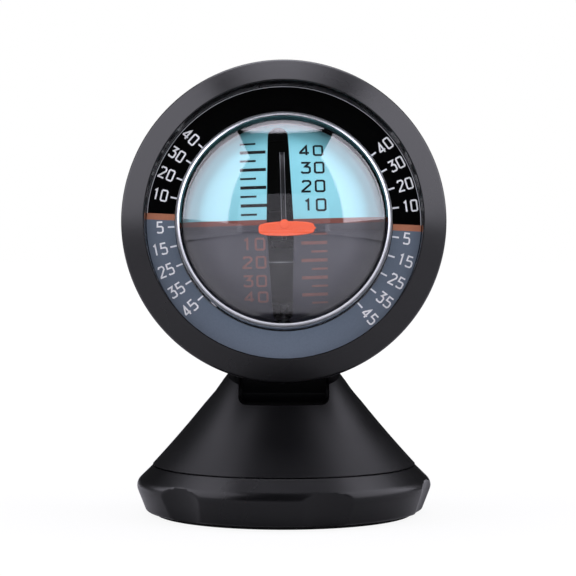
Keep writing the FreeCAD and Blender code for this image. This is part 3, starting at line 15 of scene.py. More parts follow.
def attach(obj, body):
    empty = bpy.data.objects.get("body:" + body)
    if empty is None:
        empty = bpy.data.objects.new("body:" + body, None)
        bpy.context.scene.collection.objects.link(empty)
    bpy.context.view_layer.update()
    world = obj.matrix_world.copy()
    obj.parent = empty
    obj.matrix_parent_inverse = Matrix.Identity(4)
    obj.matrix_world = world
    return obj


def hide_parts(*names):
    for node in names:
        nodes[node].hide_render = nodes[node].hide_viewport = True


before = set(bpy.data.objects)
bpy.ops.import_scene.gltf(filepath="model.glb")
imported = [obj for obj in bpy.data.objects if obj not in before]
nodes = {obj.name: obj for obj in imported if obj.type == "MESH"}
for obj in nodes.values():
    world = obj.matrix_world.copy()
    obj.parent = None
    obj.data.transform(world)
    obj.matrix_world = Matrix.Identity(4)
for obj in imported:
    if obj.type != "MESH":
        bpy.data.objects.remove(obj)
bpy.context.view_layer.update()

# %% [markdown]
# ## Two places to draw in
# Most pieces are round, so each is drawn about its own middle and then put in place once. The foot
# and cone stand on the vertical axis. The head leans back, so it has a frame of its own: X to the
# right, Y up the dial, Z out of the dial, with the origin in the middle of the ball. The ball hangs
# level in it, turned a little in its bearings, as in the photograph.

# %% Frames
MM = 0.001
LEAN = math.radians(5.5)
BALL_TURN = math.radians(1.6)
PRINT_TURN = math.radians(-2.6)
WEIGHT_TILT = math.radians(9.3)
WEIGHT_TOP = -5.1
BALL_MIDDLE = Vector((0.0, -1.5, 65.2)) * MM

UPRIGHT = Matrix.Identity(4)
HEAD = Matrix.Translation(BALL_MIDDLE) @ Matrix.Rotation(math.pi / 2 - LEAN, 4, "X")
DIAL = HEAD @ Matrix.Rotation(PRINT_TURN, 4, "Z")
BALL = HEAD @ Matrix.Rotation(BALL_TURN, 4, "Z") @ Matrix.Rotation(LEAN, 4, "X")
BLADE = HEAD @ Matrix.Rotation(BALL_TURN, 4, "Z")
print("the dial looks along", [round(v, 3) for v in HEAD.to_3x3() @ Vector((0, 0, 1))])

# %% [markdown]
# ## Helpers for nodes and colours
# Colours are written as the sRGB hex values that one reads off a screen, and one function turns
# them linear. Another adds a node: its settings are attributes, and its inputs are given by name or
# number, either as a value or as the socket that feeds it. The others are short names for what most
# materials need: noise, a change of range, a mix of colours, a fine relief and the shader itself.

# %% Node helpers
NOISE_SPAN = (0.3, 0.7)


def linear(code):
    """An sRGB hex value as linear red, green, blue and alpha, by the sRGB curve."""
    parts = [int(code[i:i + 2], 16) / 255 for i in (1, 3, 5)]
    return tuple(c / 12.92 if c <= 0.04045 else ((c + 0.055) / 1.055) ** 2.4 for c in parts) + (1.0,)


def add(tree, kind, settings=None, inputs=None):
    """Adds a node. A setting is an attribute; an input is a value, or a socket to link."""
    node = tree.nodes.new(kind)
    for name, value in (settings or {}).items():
        setattr(node, name, value)
    for name, value in (inputs or {}).items():
        if isinstance(value, bpy.types.NodeSocket):
            tree.links.new(value, node.inputs[name])
        else:
            node.inputs[name].default_value = value
    return node


def new_material(name):
    """An empty material and its node tree."""
    material = bpy.data.materials.new(name)
    material.use_nodes = True
    material.node_tree.nodes.clear()
    return material, material.node_tree


def show(material, shader):
    """Ends a material in its shader."""
    add(material.node_tree, "ShaderNodeOutputMaterial", inputs={"Surface": shader})
    return material


def object_place(tree, place=None):
    """Object coordinates, seen from one of the frames where one is given."""
    source = add(tree, "ShaderNodeTexCoord").outputs["Object"]
    if place is None:
        return source
    back = place.inverted()
    return add(tree, "ShaderNodeMapping", inputs={
        "Vector": source, "Location": back.to_translation(), "Rotation": back.to_euler("XYZ"),
    }).outputs["Vector"]


def calculated(tree, operation, first, second=0.0, third=None):
    """The result of a math node."""
    inputs = {0: first, 1: second}
    if third is not None:
        inputs[2] = third
    return add(tree, "ShaderNodeMath", {"operation": operation}, inputs).outputs["Value"]


def length_of(tree, vector):
    return add(tree, "ShaderNodeVectorMath", {"operation": "LENGTH"}, {0: vector}).outputs["Value"]


def noise(tree, where, scale, detail=2.0, roughness=0.5):
    """Noise between 0 and 1 that mostly lies within NOISE_SPAN. The scale is in waves per metre."""
    return add(tree, "ShaderNodeTexNoise", inputs={
        "Vector": where, "Scale": scale, "Detail": detail, "Roughness": roughness,
    }).outputs["Fac"]


def spread(tree, value, low, high, span=(0.0, 1.0)):
    """Takes a value from its span to a range and holds it within that range."""
    return add(tree, "ShaderNodeMapRange", inputs={
        "Value": value, "From Min": span[0], "From Max": span[1], "To Min": low, "To Max": high,
    }).outputs["Result"]


def mixed(tree, share, first, second, blend="MIX"):
    """Two colours, mixed by a share."""
    return add(tree, "ShaderNodeMix", {"data_type": "RGBA", "blend_type": blend}, {
        "Factor": share, "A": first, "B": second,
    }).outputs["Result"]


def shaded(tree, colour, value, low, high, span=NOISE_SPAN):
    """A colour that a value makes darker and lighter."""
    return mixed(tree, 1.0, colour, spread(tree, value, low, high, span), "MULTIPLY")


def relief(tree, height, high_mm, strength):
    """The normals of a surface with a fine relief."""
    return add(tree, "ShaderNodeBump", inputs={
        "Height": height, "Distance": high_mm * MM, "Strength": strength,
    }).outputs["Normal"]


def principled(tree, colour, roughness, **more):
    """A Principled shader. Its other inputs are given by name, with _ for a space."""
    inputs = {name.replace("_", " "): value for name, value in more.items()}
    inputs.update({"Base Color": colour, "Roughness": roughness})
    return add(tree, "ShaderNodeBsdfPrincipled", inputs=inputs).outputs["BSDF"]


def either(tree, share, first, second):
    """One shader where the share is 0 and another where it is 1."""
    return add(tree, "ShaderNodeMixShader", inputs={0: share, 1: first, 2: second}).outputs["Shader"]


print("black ABS in linear light:", [round(v, 4) for v in linear("#070708")])

# %% [markdown]
# ## Moulded ABS
# The case, cone and foot are black ABS from a spark-eroded mould. Such a mould leaves a fine matt
# grain of about 0.15 mm, which breaks a highlight up into a soft sheen. Noise at that size drives
# the bump, and a slow second noise shifts the roughness and the tone, which keeps large faces from
# looking painted. ABS has an index of refraction of 1.54.

# %% Moulded plastics
ABS_INDEX = 1.54
DRIFT_SCALE = 60.0
DRIFT_TONE = 0.08


def moulded(name, colour, roughness, grain=(0.15, 0.01), shift=0.08, ior=ABS_INDEX, gloss=0.5):
    """A moulded plastic. Its grain is given as width and height in mm, and its gloss drifts."""
    material, tree = new_material(name)
    place = object_place(tree)
    drift = noise(tree, place, DRIFT_SCALE, detail=3.0)
    rough = spread(tree, drift, roughness - shift / 2, roughness + shift / 2, NOISE_SPAN)
    tint = shaded(tree, linear(colour), drift, 1 - DRIFT_TONE, 1 + DRIFT_TONE)
    normals = relief(tree, noise(tree, place, 1 / (grain[0] * MM), roughness=0.6), grain[1], 0.6)
    return show(material, principled(tree, tint, rough, IOR=ior, Specular_IOR_Level=gloss, Normal=normals))


case_abs = moulded("Black ABS, spark-eroded", "#070708", 0.36, gloss=0.17)
bezel_abs = moulded("Black ABS, fine satin", "#09090a", 0.25, grain=(0.1, 0.006), gloss=0.34)
ring_abs = moulded("Black ABS, foot ring", "#070708", 0.3, gloss=0.24)
nylon = moulded("Black nylon", "#121213", 0.5, ior=1.53)
acetal = moulded("Black acetal", "#0f0f10", 0.35, ior=1.48)
foam = moulded("Black foam pad", "#151515", 0.9, grain=(0.6, 0.1), ior=1.4)
print("moulded plastics:", case_abs.name, "|", bezel_abs.name)

# %% [markdown]
# ## Turned and ground metal
# The bearings are brass, and the shafts and the weight are steel. A lathe leaves fine rings, so
# a wave at the tool's feed gives the bump. Metals keep the default index of refraction: their
# colour comes from the base colour and the metallic value. The weight and the pointer's blade are
# painted black. Bare metal is left on the weight's top edge and along the blade's edges, where it
# gives the bright lines of the highlights on those edges: a painted highlight.

# %% Metals
TOOL_FEED = 0.12
PAINT_EDGE = 0.05
BLADE_HIGHLIGHT_FROM = 0.4


def turned(name, colour, roughness, place=None):
    """A machined metal with the fine marks of the tool round its axis."""
    material, tree = new_material(name)
    where = object_place(tree, place)
    marks = add(tree, "ShaderNodeTexWave", {"wave_type": "RINGS", "rings_direction": "Z"}, {
        "Vector": where, "Scale": 1 / (2 * math.pi * TOOL_FEED * MM), "Distortion": 0.6, "Detail": 1.0,
    })
    stain = noise(tree, where, 350.0, detail=4.0)
    rough = spread(tree, stain, roughness * 0.8, roughness * 1.25, NOISE_SPAN)
    normals = relief(tree, marks.outputs["Fac"], 0.004, 0.5)
    return show(material, principled(tree, linear(colour), rough, Metallic=1.0, Normal=normals))


def bare_highlight_past(name, place, axis, edge_mm, bare, both_ways=False):
    """Black paint that leaves the metal bare past an edge along an axis of a frame: a painted highlight."""
    material, tree = new_material(name)
    where = object_place(tree, place)
    along = add(tree, "ShaderNodeSeparateXYZ", inputs={"Vector": where}).outputs[axis]
    if both_ways:
        along = calculated(tree, "ABSOLUTE", along)
    share = spread(tree, along, 0.0, 1.0, (edge_mm * MM, (edge_mm + PAINT_EDGE) * MM))
    rough = spread(tree, noise(tree, where, 1 / (0.5 * MM), detail=3.0), 0.3, 0.5)
    tint = mixed(tree, share, linear("#08080a"), linear(bare))
    return show(material, principled(tree, tint, rough, Metallic=share))


WEIGHT = BALL @ Matrix.Rotation(WEIGHT_TILT, 4, "X")
brass = turned("Turned brass", "#d8b56a", 0.28, HEAD)
ground_steel = turned("Ground steel", "#c4c6c8", 0.22, HEAD)
# The bare band at the weight's top edge is a painted highlight.
weight_paint_and_highlight = bare_highlight_past("Painted steel, bare top edge as painted highlight", WEIGHT, "Y", WEIGHT_TOP - 0.25, "#b4b6b8")
# The bare stripes along the blade's edges stand in for the highlights on its bevels: a painted highlight.
blade_paint_and_highlight = bare_highlight_past("Painted blade, bare edges as painted highlight", BLADE, "X", BLADE_HIGHLIGHT_FROM, "#9a9ca0", both_ways=True)
zinc = turned("Zinc-plated steel", "#b9bcc0", 0.3)
black_steel = turned("Blackened steel", "#2b2c2e", 0.35)
spring_steel = turned("Spring steel", "#9a9c9e", 0.25)
print("metals:", brass.name, "|", weight_paint_and_highlight.name)

# %% [markdown]
# ## Clear polycarbonate
# The dome is clear moulded polycarbonate, index 1.585. A real dome lets the lamps through to the
# ball, but a path tracer blocks a lamp's shadow ray at glass. So shadow and diffuse rays get a
# Transparent shader instead, and camera and glossy rays get the true glass. Round the dome's
# shoulder one looks into the wall from its end, and total reflection makes a mirror of it: that
# narrow bead gets a mirror's material.

# %% Dome material
def clear_polycarbonate():
    """Glass to camera and glossy rays, and plain transparency to shadow and diffuse rays."""
    material, tree = new_material("Clear polycarbonate")
    glass = principled(tree, linear("#ffffff"), 0.015, IOR=1.585, Transmission_Weight=1.0)
    through = add(tree, "ShaderNodeBsdfTransparent", inputs={"Color": linear("#f4f7f8")}).outputs["BSDF"]
    rays = add(tree, "ShaderNodeLightPath").outputs
    soft = calculated(tree, "MAXIMUM", rays["Is Shadow Ray"], rays["Is Diffuse Ray"])
    return show(material, either(tree, soft, glass, through))


def mirror_edge():
    """A bright and slightly uneven mirror, in place of the total reflection."""
    material, tree = new_material("Polycarbonate edge, totally reflecting")
    rough = spread(tree, noise(tree, object_place(tree, HEAD), 1 / (4 * MM)), 0.32, 0.42)
    return show(material, principled(tree, linear("#eef1f3"), rough, Metallic=0.92))


dome_glass = clear_polycarbonate()
bright_edge = mirror_edge()
print("dome:", dome_glass.name, "|", bright_edge.name)

# %% [markdown]
# ## Printed faces
# The dial ring is one moulding printed in two flat inks, black above the horizon and slate below,
# with an orange-brown bar between them. The print is turned a little in the bezel. A step on the
# height in the dial's own frame picks the ink, with a narrow soft edge like screen printing. A step
# on the radius paints a light-grey hairline round the black part: a painted highlight along the
# dial's outer edge.

# %% Dial print
STEP_SOFT = 0.03
BAR_HALF = 0.7
EDGE_HIGHLIGHT_RADIUS = 30.42
INK_INDEX = 1.5


def ink_step(tree, height, edge_mm):
    """0 below an edge and 1 above it, softened to both sides."""
    return spread(tree, height, 0.0, 1.0, ((edge_mm - STEP_SOFT) * MM, (edge_mm + STEP_SOFT) * MM))


def dial_print():
    """Three inks by height, a painted highlight hairline by radius, and a faint speckle on all of it."""
    material, tree = new_material("Screen print on the dial, with a painted edge highlight")
    place = object_place(tree, DIAL)
    apart = add(tree, "ShaderNodeSeparateXYZ", inputs={"Vector": place}).outputs
    across = add(tree, "ShaderNodeCombineXYZ", inputs={"X": apart["X"], "Y": apart["Y"]}).outputs["Vector"]
    # Past this radius the print turns light grey: a painted highlight along the dial's outer edge.
    rim = ink_step(tree, length_of(tree, across), EDGE_HIGHLIGHT_RADIUS)
    black = mixed(tree, rim, linear("#030303"), linear("#c4c6c8"))
    low = mixed(tree, ink_step(tree, apart["Y"], -BAR_HALF), linear("#68727d"), linear("#b4765a"))
    both = mixed(tree, ink_step(tree, apart["Y"], BAR_HALF), low, black)
    inked = shaded(tree, both, noise(tree, place, 1 / (0.25 * MM)), 0.94, 1.06, (0.25, 0.75))
    return show(material, principled(tree, inked, 0.8, IOR=INK_INDEX, Specular_IOR_Level=0.05))


def ink(name, colour, wear=0.12, gloss=0.5):
    """A thin printed ink that lies unevenly, so its tone drifts along a stroke."""
    material, tree = new_material(name)
    patch = noise(tree, object_place(tree), 1 / (0.8 * MM), detail=3.0)
    tint = shaded(tree, linear(colour), patch, 1 - wear, 1 + wear / 3)
    return show(material, principled(tree, tint, 0.5, IOR=INK_INDEX, Specular_IOR_Level=gloss))


dial_inks = dial_print()
white_ink = ink("White ink", "#f2f2f0")
black_ink = ink("Black ink", "#06090b", wear=0.2, gloss=0.2)
faded_ink = ink("Faded brown ink", "#7d4f46", wear=0.25)
print("inks:", white_ink.name, "|", black_ink.name, "|", faded_ink.name)

# %% [markdown]
# ## The ball's colours
# The ball is two moulded shells, sky blue above and dark grey below, with an orange-brown ring
# between them. The shells are polystyrene, index 1.59, with a satin surface. The pointer is a
# fluorescent orange ABS.

# %% Ball colours
def polystyrene(name, colour, shift):
    return moulded(name, colour, 0.42, grain=(0.3, 0.004), shift=shift, ior=1.59)


sky_shell = polystyrene("Sky blue polystyrene", "#88d0d6", 0.04)
earth_shell = polystyrene("Dark grey polystyrene", "#323139", 0.04)
horizon_brown = polystyrene("Brown orange polystyrene", "#74301c", 0.08)
pointer_orange = moulded("Fluorescent orange ABS", "#ff5a1c", 0.5, grain=(0.3, 0.005))
print("ball colours:", sky_shell.name, "|", earth_shell.name)

# %% [markdown]
# ## Helpers for meshes
# A lathe turns an outline of radius and height round Z. Corners may carry a rounding radius, which
# is filled with a short arc, because a moulded edge is never razor sharp and the rounding is what
# catches the light. Each finished piece has its place in its mesh, so its object stays at the origin.

# %% Mesh helpers
ARC_STEPS = 6
SMOOTH_ANGLE = math.radians(32)
STRAIGHT = math.pi / 2 - 0.01
ON_AXIS = 1e-6


def swing(middle, start, end, steps):
    """Points round a middle, from one spoke to another."""
    sweep = start.angle_signed(end)
    points = []
    for step in range(steps + 1):
        spoke = start.copy()
        spoke.rotate(Matrix.Rotation(-sweep * step / steps, 2))
        points.append(tuple(middle + spoke))
    return points


def rounded(outline):
    """An outline of (radius, height, rounding) with each rounded corner filled by an arc."""
    points = []
    count = len(outline)
    for index, corner in enumerate(outline):
        here = Vector(corner[:2])
        radius = corner[2] if len(corner) > 2 else 0
        before = (Vector(outline[index - 1][:2]) - here).normalized()
        after = (Vector(outline[(index + 1) % count][:2]) - here).normalized()
        half = before.angle(after) / 2
        if radius <= 0 or half > STRAIGHT:
            points.append(tuple(here))
            continue
        reach = radius / math.tan(half)
        middle = here + (before + after).normalized() * (radius / math.sin(half))
        points += swing(middle, here + before * reach - middle, here + after * reach - middle, ARC_STEPS)
    return points


def swept_side(start, end, radius, count, hollow):
    """Points from one corner to another along an arc that is hollow or bulges outwards."""
    start, end = Vector(start), Vector(end)
    chord = end - start
    side = Vector((chord.y, -chord.x)) if hollow else Vector((-chord.y, chord.x))
    middle = (start + end) / 2 + side.normalized() * math.sqrt(radius ** 2 - (chord.length / 2) ** 2)
    return swing(middle, start - middle, end - middle, count - 1)


def arc_points(middle, radius, first, last, count):
    """Points along an arc, with angles in degrees from the outline's first axis."""
    turns = [math.radians(first + (last - first) * step / (count - 1)) for step in range(count)]
    return [(middle[0] + radius * math.cos(t), middle[1] + radius * math.sin(t)) for t in turns]


def circle(middle, radius, count=48):
    return arc_points(middle, radius, 0, 360 * (count - 1) / count, count)


def new_object(name, data):
    """An object in the scene's collection."""
    made = bpy.data.objects.new(name, data)
    bpy.context.scene.collection.objects.link(made)
    return made


def smooth_over(mesh):
    """Smooth shading that keeps the sharp edges."""
    mesh.shade_smooth()
    mesh.set_sharp_from_angle(angle=SMOOTH_ANGLE)


def mesh_piece(name, vertices, faces, place, material, smooth=True):
    """A closed piece from millimetre points: placed, joined, facing outwards and smoothed."""
    mesh = bpy.data.meshes.new(name)
    mesh.from_pydata([Vector(v) * MM for v in vertices], [], faces)
    work = bmesh.new()
    work.from_mesh(mesh)
    bmesh.ops.remove_doubles(work, verts=work.verts, dist=0.001 * MM)
    bmesh.ops.transform(work, matrix=place, verts=work.verts)
    bmesh.ops.recalc_face_normals(work, faces=work.faces)
    work.to_mesh(mesh)
    work.free()
    if smooth:
        smooth_over(mesh)
    mesh.materials.append(material)
    return new_object(name, mesh)


def lathe(name, points, place, material, steps=192, bend=None):
    """Turns a closed outline round Z. A point on the axis becomes one pole.

    With bend(turn, radius, height) the radius may differ with the direction.
    """
    vertices = []
    rings = []
    for radius, height in points:
        if radius < ON_AXIS:
            rings.append([len(vertices)] * steps)
            vertices.append((0, 0, height))
            continue
        rings.append(range(len(vertices), len(vertices) + steps))
        for step in range(steps):
            turn = 2 * math.pi * step / steps
            reach = bend(turn, radius, height) if bend else radius
            vertices.append((reach * math.cos(turn), reach * math.sin(turn), height))
    faces = []
    for index, ring in enumerate(rings):
        following = rings[(index + 1) % len(rings)]
        if ring[0] == ring[1] and following[0] == following[1]:
            continue
        for step in range(steps):
            side = (step + 1) % steps
            corners = [ring[step], ring[side], following[side], following[step]]
            faces.append([c for i, c in enumerate(corners) if c != corners[i - 1]])
    return mesh_piece(name, vertices, faces, place, material)


def slab(name, outline, low, high, axis, place=UPRIGHT):
    """A closed prism: an outline in two axes, drawn out along the third from low to high."""
    third = "XYZ".index(axis)
    vertices = [(*point[:third], level, *point[third:]) for level in (low, high) for point in outline]
    count = len(outline)
    faces = [tuple(range(count)), tuple(range(count, 2 * count))]
    faces += [(i, (i + 1) % count, count + (i + 1) % count, count + i) for i in range(count)]
    return mesh_piece(name, vertices, faces, place, case_abs)


def settle(piece):
    """Bakes a piece's modifiers into its mesh and takes them off."""
    graph = bpy.context.evaluated_depsgraph_get()
    graph.update()
    mesh = bpy.data.meshes.new_from_object(piece.evaluated_get(graph))
    mesh.name = piece.name
    piece.modifiers.clear()
    piece.data = mesh
    return piece


def carve(piece, cutters):
    """Cuts closed cutters out of a piece and smooths what is left."""
    for cutter in cutters:
        step = piece.modifiers.new("cut", "BOOLEAN")
        step.object = cutter
        step.operation = "DIFFERENCE"
        step.solver = "EXACT"
    settle(piece)
    for cutter in cutters:
        bpy.data.objects.remove(cutter)
    smooth_over(piece.data)
    return piece


def even_shading(piece):
    """Weights the normals by face area, so that flat faces beside a rounding stay flat."""
    piece.modifiers.new("even shading", "WEIGHTED_NORMAL").keep_sharp = True
    return piece


def put_on(piece, body, *stands_for, slot=None):
    """Lets a piece ride on a body and stand for CAD nodes. The slot argument is not used."""
    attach(piece, body)
    if stands_for:
        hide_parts(*stands_for)
    print(f"{piece.name}: {len(piece.data.polygons)} faces on {body}")
    return piece


# %% [markdown]
# ## Foot ring
# The foot is a moulded ring with six shallow finger scoops. A scoop is the side of a leaning
# cylinder, so where it crosses the sloping wall it ends in a pointed arch. Cutting cylinders out
# would work too, but here the lathe bends each point's radius inwards: it is the smaller of the
# wall's radius and the scoop's, blended over a fraction of a millimetre so that the crest between
# them comes out soft, as in the photograph.

# %% Foot ring
PAD_TOP = 0.8
FOOT_RADIUS = 31.3
FOOT_INSIDE = 28.3
SHOULDER = (33.8, 7.1)
SEAM = (29.8, 11.3)
RING_TOP = SEAM[1] - 0.3
STEP_RADIUS = 28.7
DECK_LOW, DECK_TOP, DECK_HOLE = 8.8, 10.6, 6.1
SCOOP_RADIUS = 22.0
SCOOP_DEPTH = 1.45
SCOOP_LEAN = math.radians(16)
SCOOP_TURN = math.radians(16.7 - 90)
SCOOP_PITCH = 2 * math.pi / 6
SCOOP_BLEND = 0.22
NO_SCOOP = 1000.0
WALL_FROM = 29.0
WALL_STEP = 0.3


def scoop_limit(turn, height):
    """The radius at which a scoop's cylinder lies, in the direction of a turn at a height."""
    nearest = (turn - SCOOP_TURN + SCOOP_PITCH / 2) % SCOOP_PITCH - SCOOP_PITCH / 2
    squash = math.cos(SCOOP_LEAN)
    middle = SHOULDER[0] - SCOOP_DEPTH + SCOOP_RADIUS / squash + (height - SHOULDER[1]) * math.tan(SCOOP_LEAN)
    a = (math.cos(nearest) * squash) ** 2 + math.sin(nearest) ** 2
    b = -2 * middle * math.cos(nearest) * squash ** 2
    c = (middle * squash) ** 2 - SCOOP_RADIUS ** 2
    inside = b * b - 4 * a * c
    return (-b - math.sqrt(inside)) / (2 * a) if inside > 0 else NO_SCOOP


def scooped(turn, radius, height):
    """The smaller of wall and scoop, with a rounded corner where they cross."""
    if radius <= WALL_FROM:
        return radius
    limit = scoop_limit(turn, height)
    share = max(0.0, min(1.0, 0.5 + (limit - radius) / (2 * SCOOP_BLEND)))
    return limit + (radius - limit) * share - SCOOP_BLEND * share * (1 - share)


def foot_ring():
    """The ring's section, with its sloping wall cut finely so that the scoops can bend it."""
    wall = rounded([
        (FOOT_INSIDE, PAD_TOP), (FOOT_RADIUS, PAD_TOP, 0.9), SHOULDER + (2.4,), (SEAM[0], RING_TOP, 0.25),
        (STEP_RADIUS, RING_TOP), (STEP_RADIUS, DECK_TOP), (DECK_HOLE, DECK_TOP), (DECK_HOLE, DECK_LOW),
        (FOOT_INSIDE, DECK_LOW),
    ])
    points = []
    for index, start in enumerate(wall):
        end = wall[(index + 1) % len(wall)]
        points.append(start)
        length = math.dist(start, end)
        if min(start[0], end[0]) > WALL_FROM + 0.5 and length > WALL_STEP + 0.2:
            pieces = int(length / WALL_STEP)
            points += [tuple(Vector(start).lerp(Vector(end), k / pieces)) for k in range(1, pieces)]
    return lathe("foot_ring", points, UPRIGHT, ring_abs, steps=720, bend=scooped)


put_on(foot_ring(), "foot", "base_ring")

# %% [markdown]
# ## Cone
# The cone turns on the foot and carries the hinge in a fork at its top. Its side sweeps in a little,
# so the outline is an arc and not a straight line. The fork's slot, the hinge's holes and the sloping
# reliefs in front and behind are cut with closed cutters by a Boolean modifier.

# %% Cone
CONE_TOP = (12.6, 31.9)
CONE_SWEEP = 260.0
CONE_CEILING = ((0.0, 21.0), (15.2, 21.0), (26.5, SEAM[1]))
SLOT_HALF = 10.1
SLOT_FLOOR = 25.7
HINGE_SEAT = 12.6
PIN_HEIGHT = 27.5
PIN_RADIUS, PIN_HEAD_RADIUS, NUT_RADIUS, NECK_RADIUS = 1.25, 2.4, 2.89, 4.3
RELIEF_SLOPE = math.tan(math.radians(13))
RELIEF_FROM, RELIEF_TO, RELIEF_HALF = 1.0, 20.0, 30.0
PAST = 40.0


def cone():
    outside = swept_side(SEAM, CONE_TOP, CONE_SWEEP, 20, hollow=True)
    piece = lathe("cone", [*CONE_CEILING, *outside, (0.0, CONE_TOP[1])], UPRIGHT, case_abs)
    slot = rounded([
        (-SLOT_HALF, SLOT_FLOOR, 1.6), (SLOT_HALF, SLOT_FLOOR, 1.6), (SLOT_HALF, PAST), (-SLOT_HALF, PAST),
    ])
    pin = (0, PIN_HEIGHT)
    cutters = [
        slab("slot", slot, -PAST, PAST, "Y"),
        slab("trough", circle(pin, NECK_RADIUS), -SLOT_HALF, SLOT_HALF, "X"),
        slab("pin_hole", circle(pin, PIN_RADIUS), -PAST, PAST, "X"),
        slab("head_pocket", circle(pin, PIN_HEAD_RADIUS), HINGE_SEAT, PAST, "X"),
        slab("nut_pocket", circle(pin, NUT_RADIUS, 6), -PAST, -HINGE_SEAT, "X"),
    ]
    for side in (-1, 1):
        near, far = side * RELIEF_FROM, side * RELIEF_TO
        low = CONE_TOP[1] - (RELIEF_TO - RELIEF_FROM) * RELIEF_SLOPE
        edge = [(near, CONE_TOP[1]), (far, low), (far, PAST), (near, PAST)]
        cutters.append(slab(f"relief_{side + 1}", edge, -RELIEF_HALF, RELIEF_HALF, "X"))
    return carve(piece, cutters)


put_on(cone(), "turret", "cone_shell")

# %% [markdown]
# ## Rear case
# The case is a deep bowl with a flat back, moulded in one. Four screws go in from behind, down
# round pockets, and a plug covers the end of the roll shaft. It is turned from the same outline as
# the solid. The room inside is a turned tool that the four screw posts are first cut out of, so that
# the posts stay when the tool is cut out of the case.

# %% Rear case
CASE_RADIUS = 34.4
CASE_WALL = 2.0
CASE_BACK = -31.5
CASE_CORNER, CORNER_SWEEP = ((15.0, CASE_BACK), (19.5, -29.3)), 6.0
CASE_SWEEP = 42.46
CASE_FRONT, PAST_FRONT, CASE_LIP = 8.4, 12.0, 33.7
BEZEL_BACK = 5.0
ROOM_FLOOR, ROOM_CORNER, ROOM_SIDE = -29.5, 14.2, (18.1, -27.9)
HUB_RADIUS, HUB_FRONT = 7.2, -26.9
TUBE_RADIUS, TUBE_FRONT = 3.6, -18.4
CAP_RADIUS, CAP_SEAT, SHAFT_BORE = 5.5, -28.9, 2.0
SCREW_CIRCLE, SCREW_SEAT, POST_FRONT = 28.4, -8.0, 0.4
POST_RADIUS, POCKET_RADIUS, DRILL_RADIUS = 2.6, 2.1, 1.2


def rear_case():
    side_end = BEZEL_BACK - CASE_WALL
    edge = swept_side(*CASE_CORNER, CORNER_SWEEP, 7, hollow=False)
    side = swept_side(CASE_CORNER[1], (CASE_RADIUS, side_end), CASE_SWEEP, 40, hollow=False)
    inner = swept_side(ROOM_SIDE, (CASE_RADIUS - CASE_WALL, side_end), CASE_SWEEP, 40, hollow=False)
    outline = [
        (0.0, CASE_BACK), *edge, *side[1:], (CASE_RADIUS, BEZEL_BACK), (CASE_LIP, BEZEL_BACK),
        (CASE_LIP, CASE_FRONT), (0.0, CASE_FRONT),
    ]
    room = [
        (0.0, TUBE_FRONT), (TUBE_RADIUS, TUBE_FRONT), (TUBE_RADIUS, HUB_FRONT), (HUB_RADIUS, HUB_FRONT),
        (HUB_RADIUS, ROOM_FLOOR), (ROOM_CORNER, ROOM_FLOOR), *inner,
        (CASE_RADIUS - CASE_WALL, PAST_FRONT), (0.0, PAST_FRONT),
    ]
    posts, cutters = [], []
    for quarter in range(4):
        turn = math.radians(45 + 90 * quarter)
        spot = (SCREW_CIRCLE * math.cos(turn), SCREW_CIRCLE * math.sin(turn))
        posts.append(slab(f"post_{quarter}", circle(spot, POST_RADIUS), -PAST, POST_FRONT, "Z", HEAD))
        cutters.append(slab(f"pocket_{quarter}", circle(spot, POCKET_RADIUS), -PAST, SCREW_SEAT, "Z", HEAD))
        cutters.append(slab(f"drill_{quarter}", circle(spot, DRILL_RADIUS), SCREW_SEAT - 1, 2.0, "Z", HEAD))
    cutters.append(slab("cap_recess", circle((0, 0), CAP_RADIUS, 96), -PAST, CAP_SEAT, "Z", HEAD))
    cutters.append(slab("shaft_bore", circle((0, 0), SHAFT_BORE), -PAST, 0, "Z", HEAD))
    cavity = carve(lathe("case_room", room, HEAD, case_abs), posts)
    return carve(lathe("rear_case", outline, HEAD, case_abs), [cavity] + cutters)


put_on(rear_case(), "head", "rear_case")

# %% [markdown]
# ## Bezel
# The bezel is a plain turned ring: a side that widens to a soft rim, a broad sloping face that runs
# on to a fine edge, and from there a straight wall down to the dial.

# %% Bezel
BEZEL_RIM, BEZEL_CREST = (36.0, 12.6, 1.3), (30.6, 16.6, 0.2)
LENS_SEAT = 6.8
BEZEL_LIP, BEZEL_STEP = 26.0, 30.9


def bezel():
    """The section: the lip behind the dome, the groove for the case, the rim, the crest, the wall."""
    outline = rounded([
        (BEZEL_LIP, 5.6, 0.1), (BEZEL_STEP, 5.6), (BEZEL_STEP, BEZEL_BACK), (32.2, BEZEL_BACK), (32.2, 8.5),
        (33.8, 8.5), (33.8, BEZEL_BACK), (35.5, BEZEL_BACK, 0.35), BEZEL_RIM, BEZEL_CREST,
        (30.7, 8.7), (BEZEL_STEP, 8.6), (BEZEL_STEP, LENS_SEAT), (BEZEL_LIP, LENS_SEAT, 0.1),
    ])
    return even_shading(lathe("bezel", outline, HEAD, bezel_abs, steps=256))


put_on(bezel(), "head", "bezel")

# %% [markdown]
# ## Dial ring and dome
# The dial is a flat ring, and the dome comes up through its hole. Its flange lies behind the dial.
# Its side wall stands nearly straight, so from the front one looks along it: that is the bright
# ring round the ball. The front is a flatter sphere, and a narrow bead and a fine groove lie between
# the two. A glass shader bends light at every surface, so the wall needs its inner face too.

# %% Dial ring and dome
DIAL_BACK, DIAL_FACE = 7.6, 8.4
DIAL_INNER, DIAL_OUTER = 24.3, 30.6
FLANGE_BACK = 6.8
DOME_REACH, DOME_SWEEP = 25.4, 32.0
DOME_SIDE, DOME_SHOULDER = 24.1, 23.92
DOME_WALL = 1.1
FLANGE_GAP, RIM_GAP = 0.02, 0.05
GROOVE = ((22.72, 15.94), (22.85, 15.66))
BEAD_START, BEAD_TURN = (22.95, 15.86), 65.0


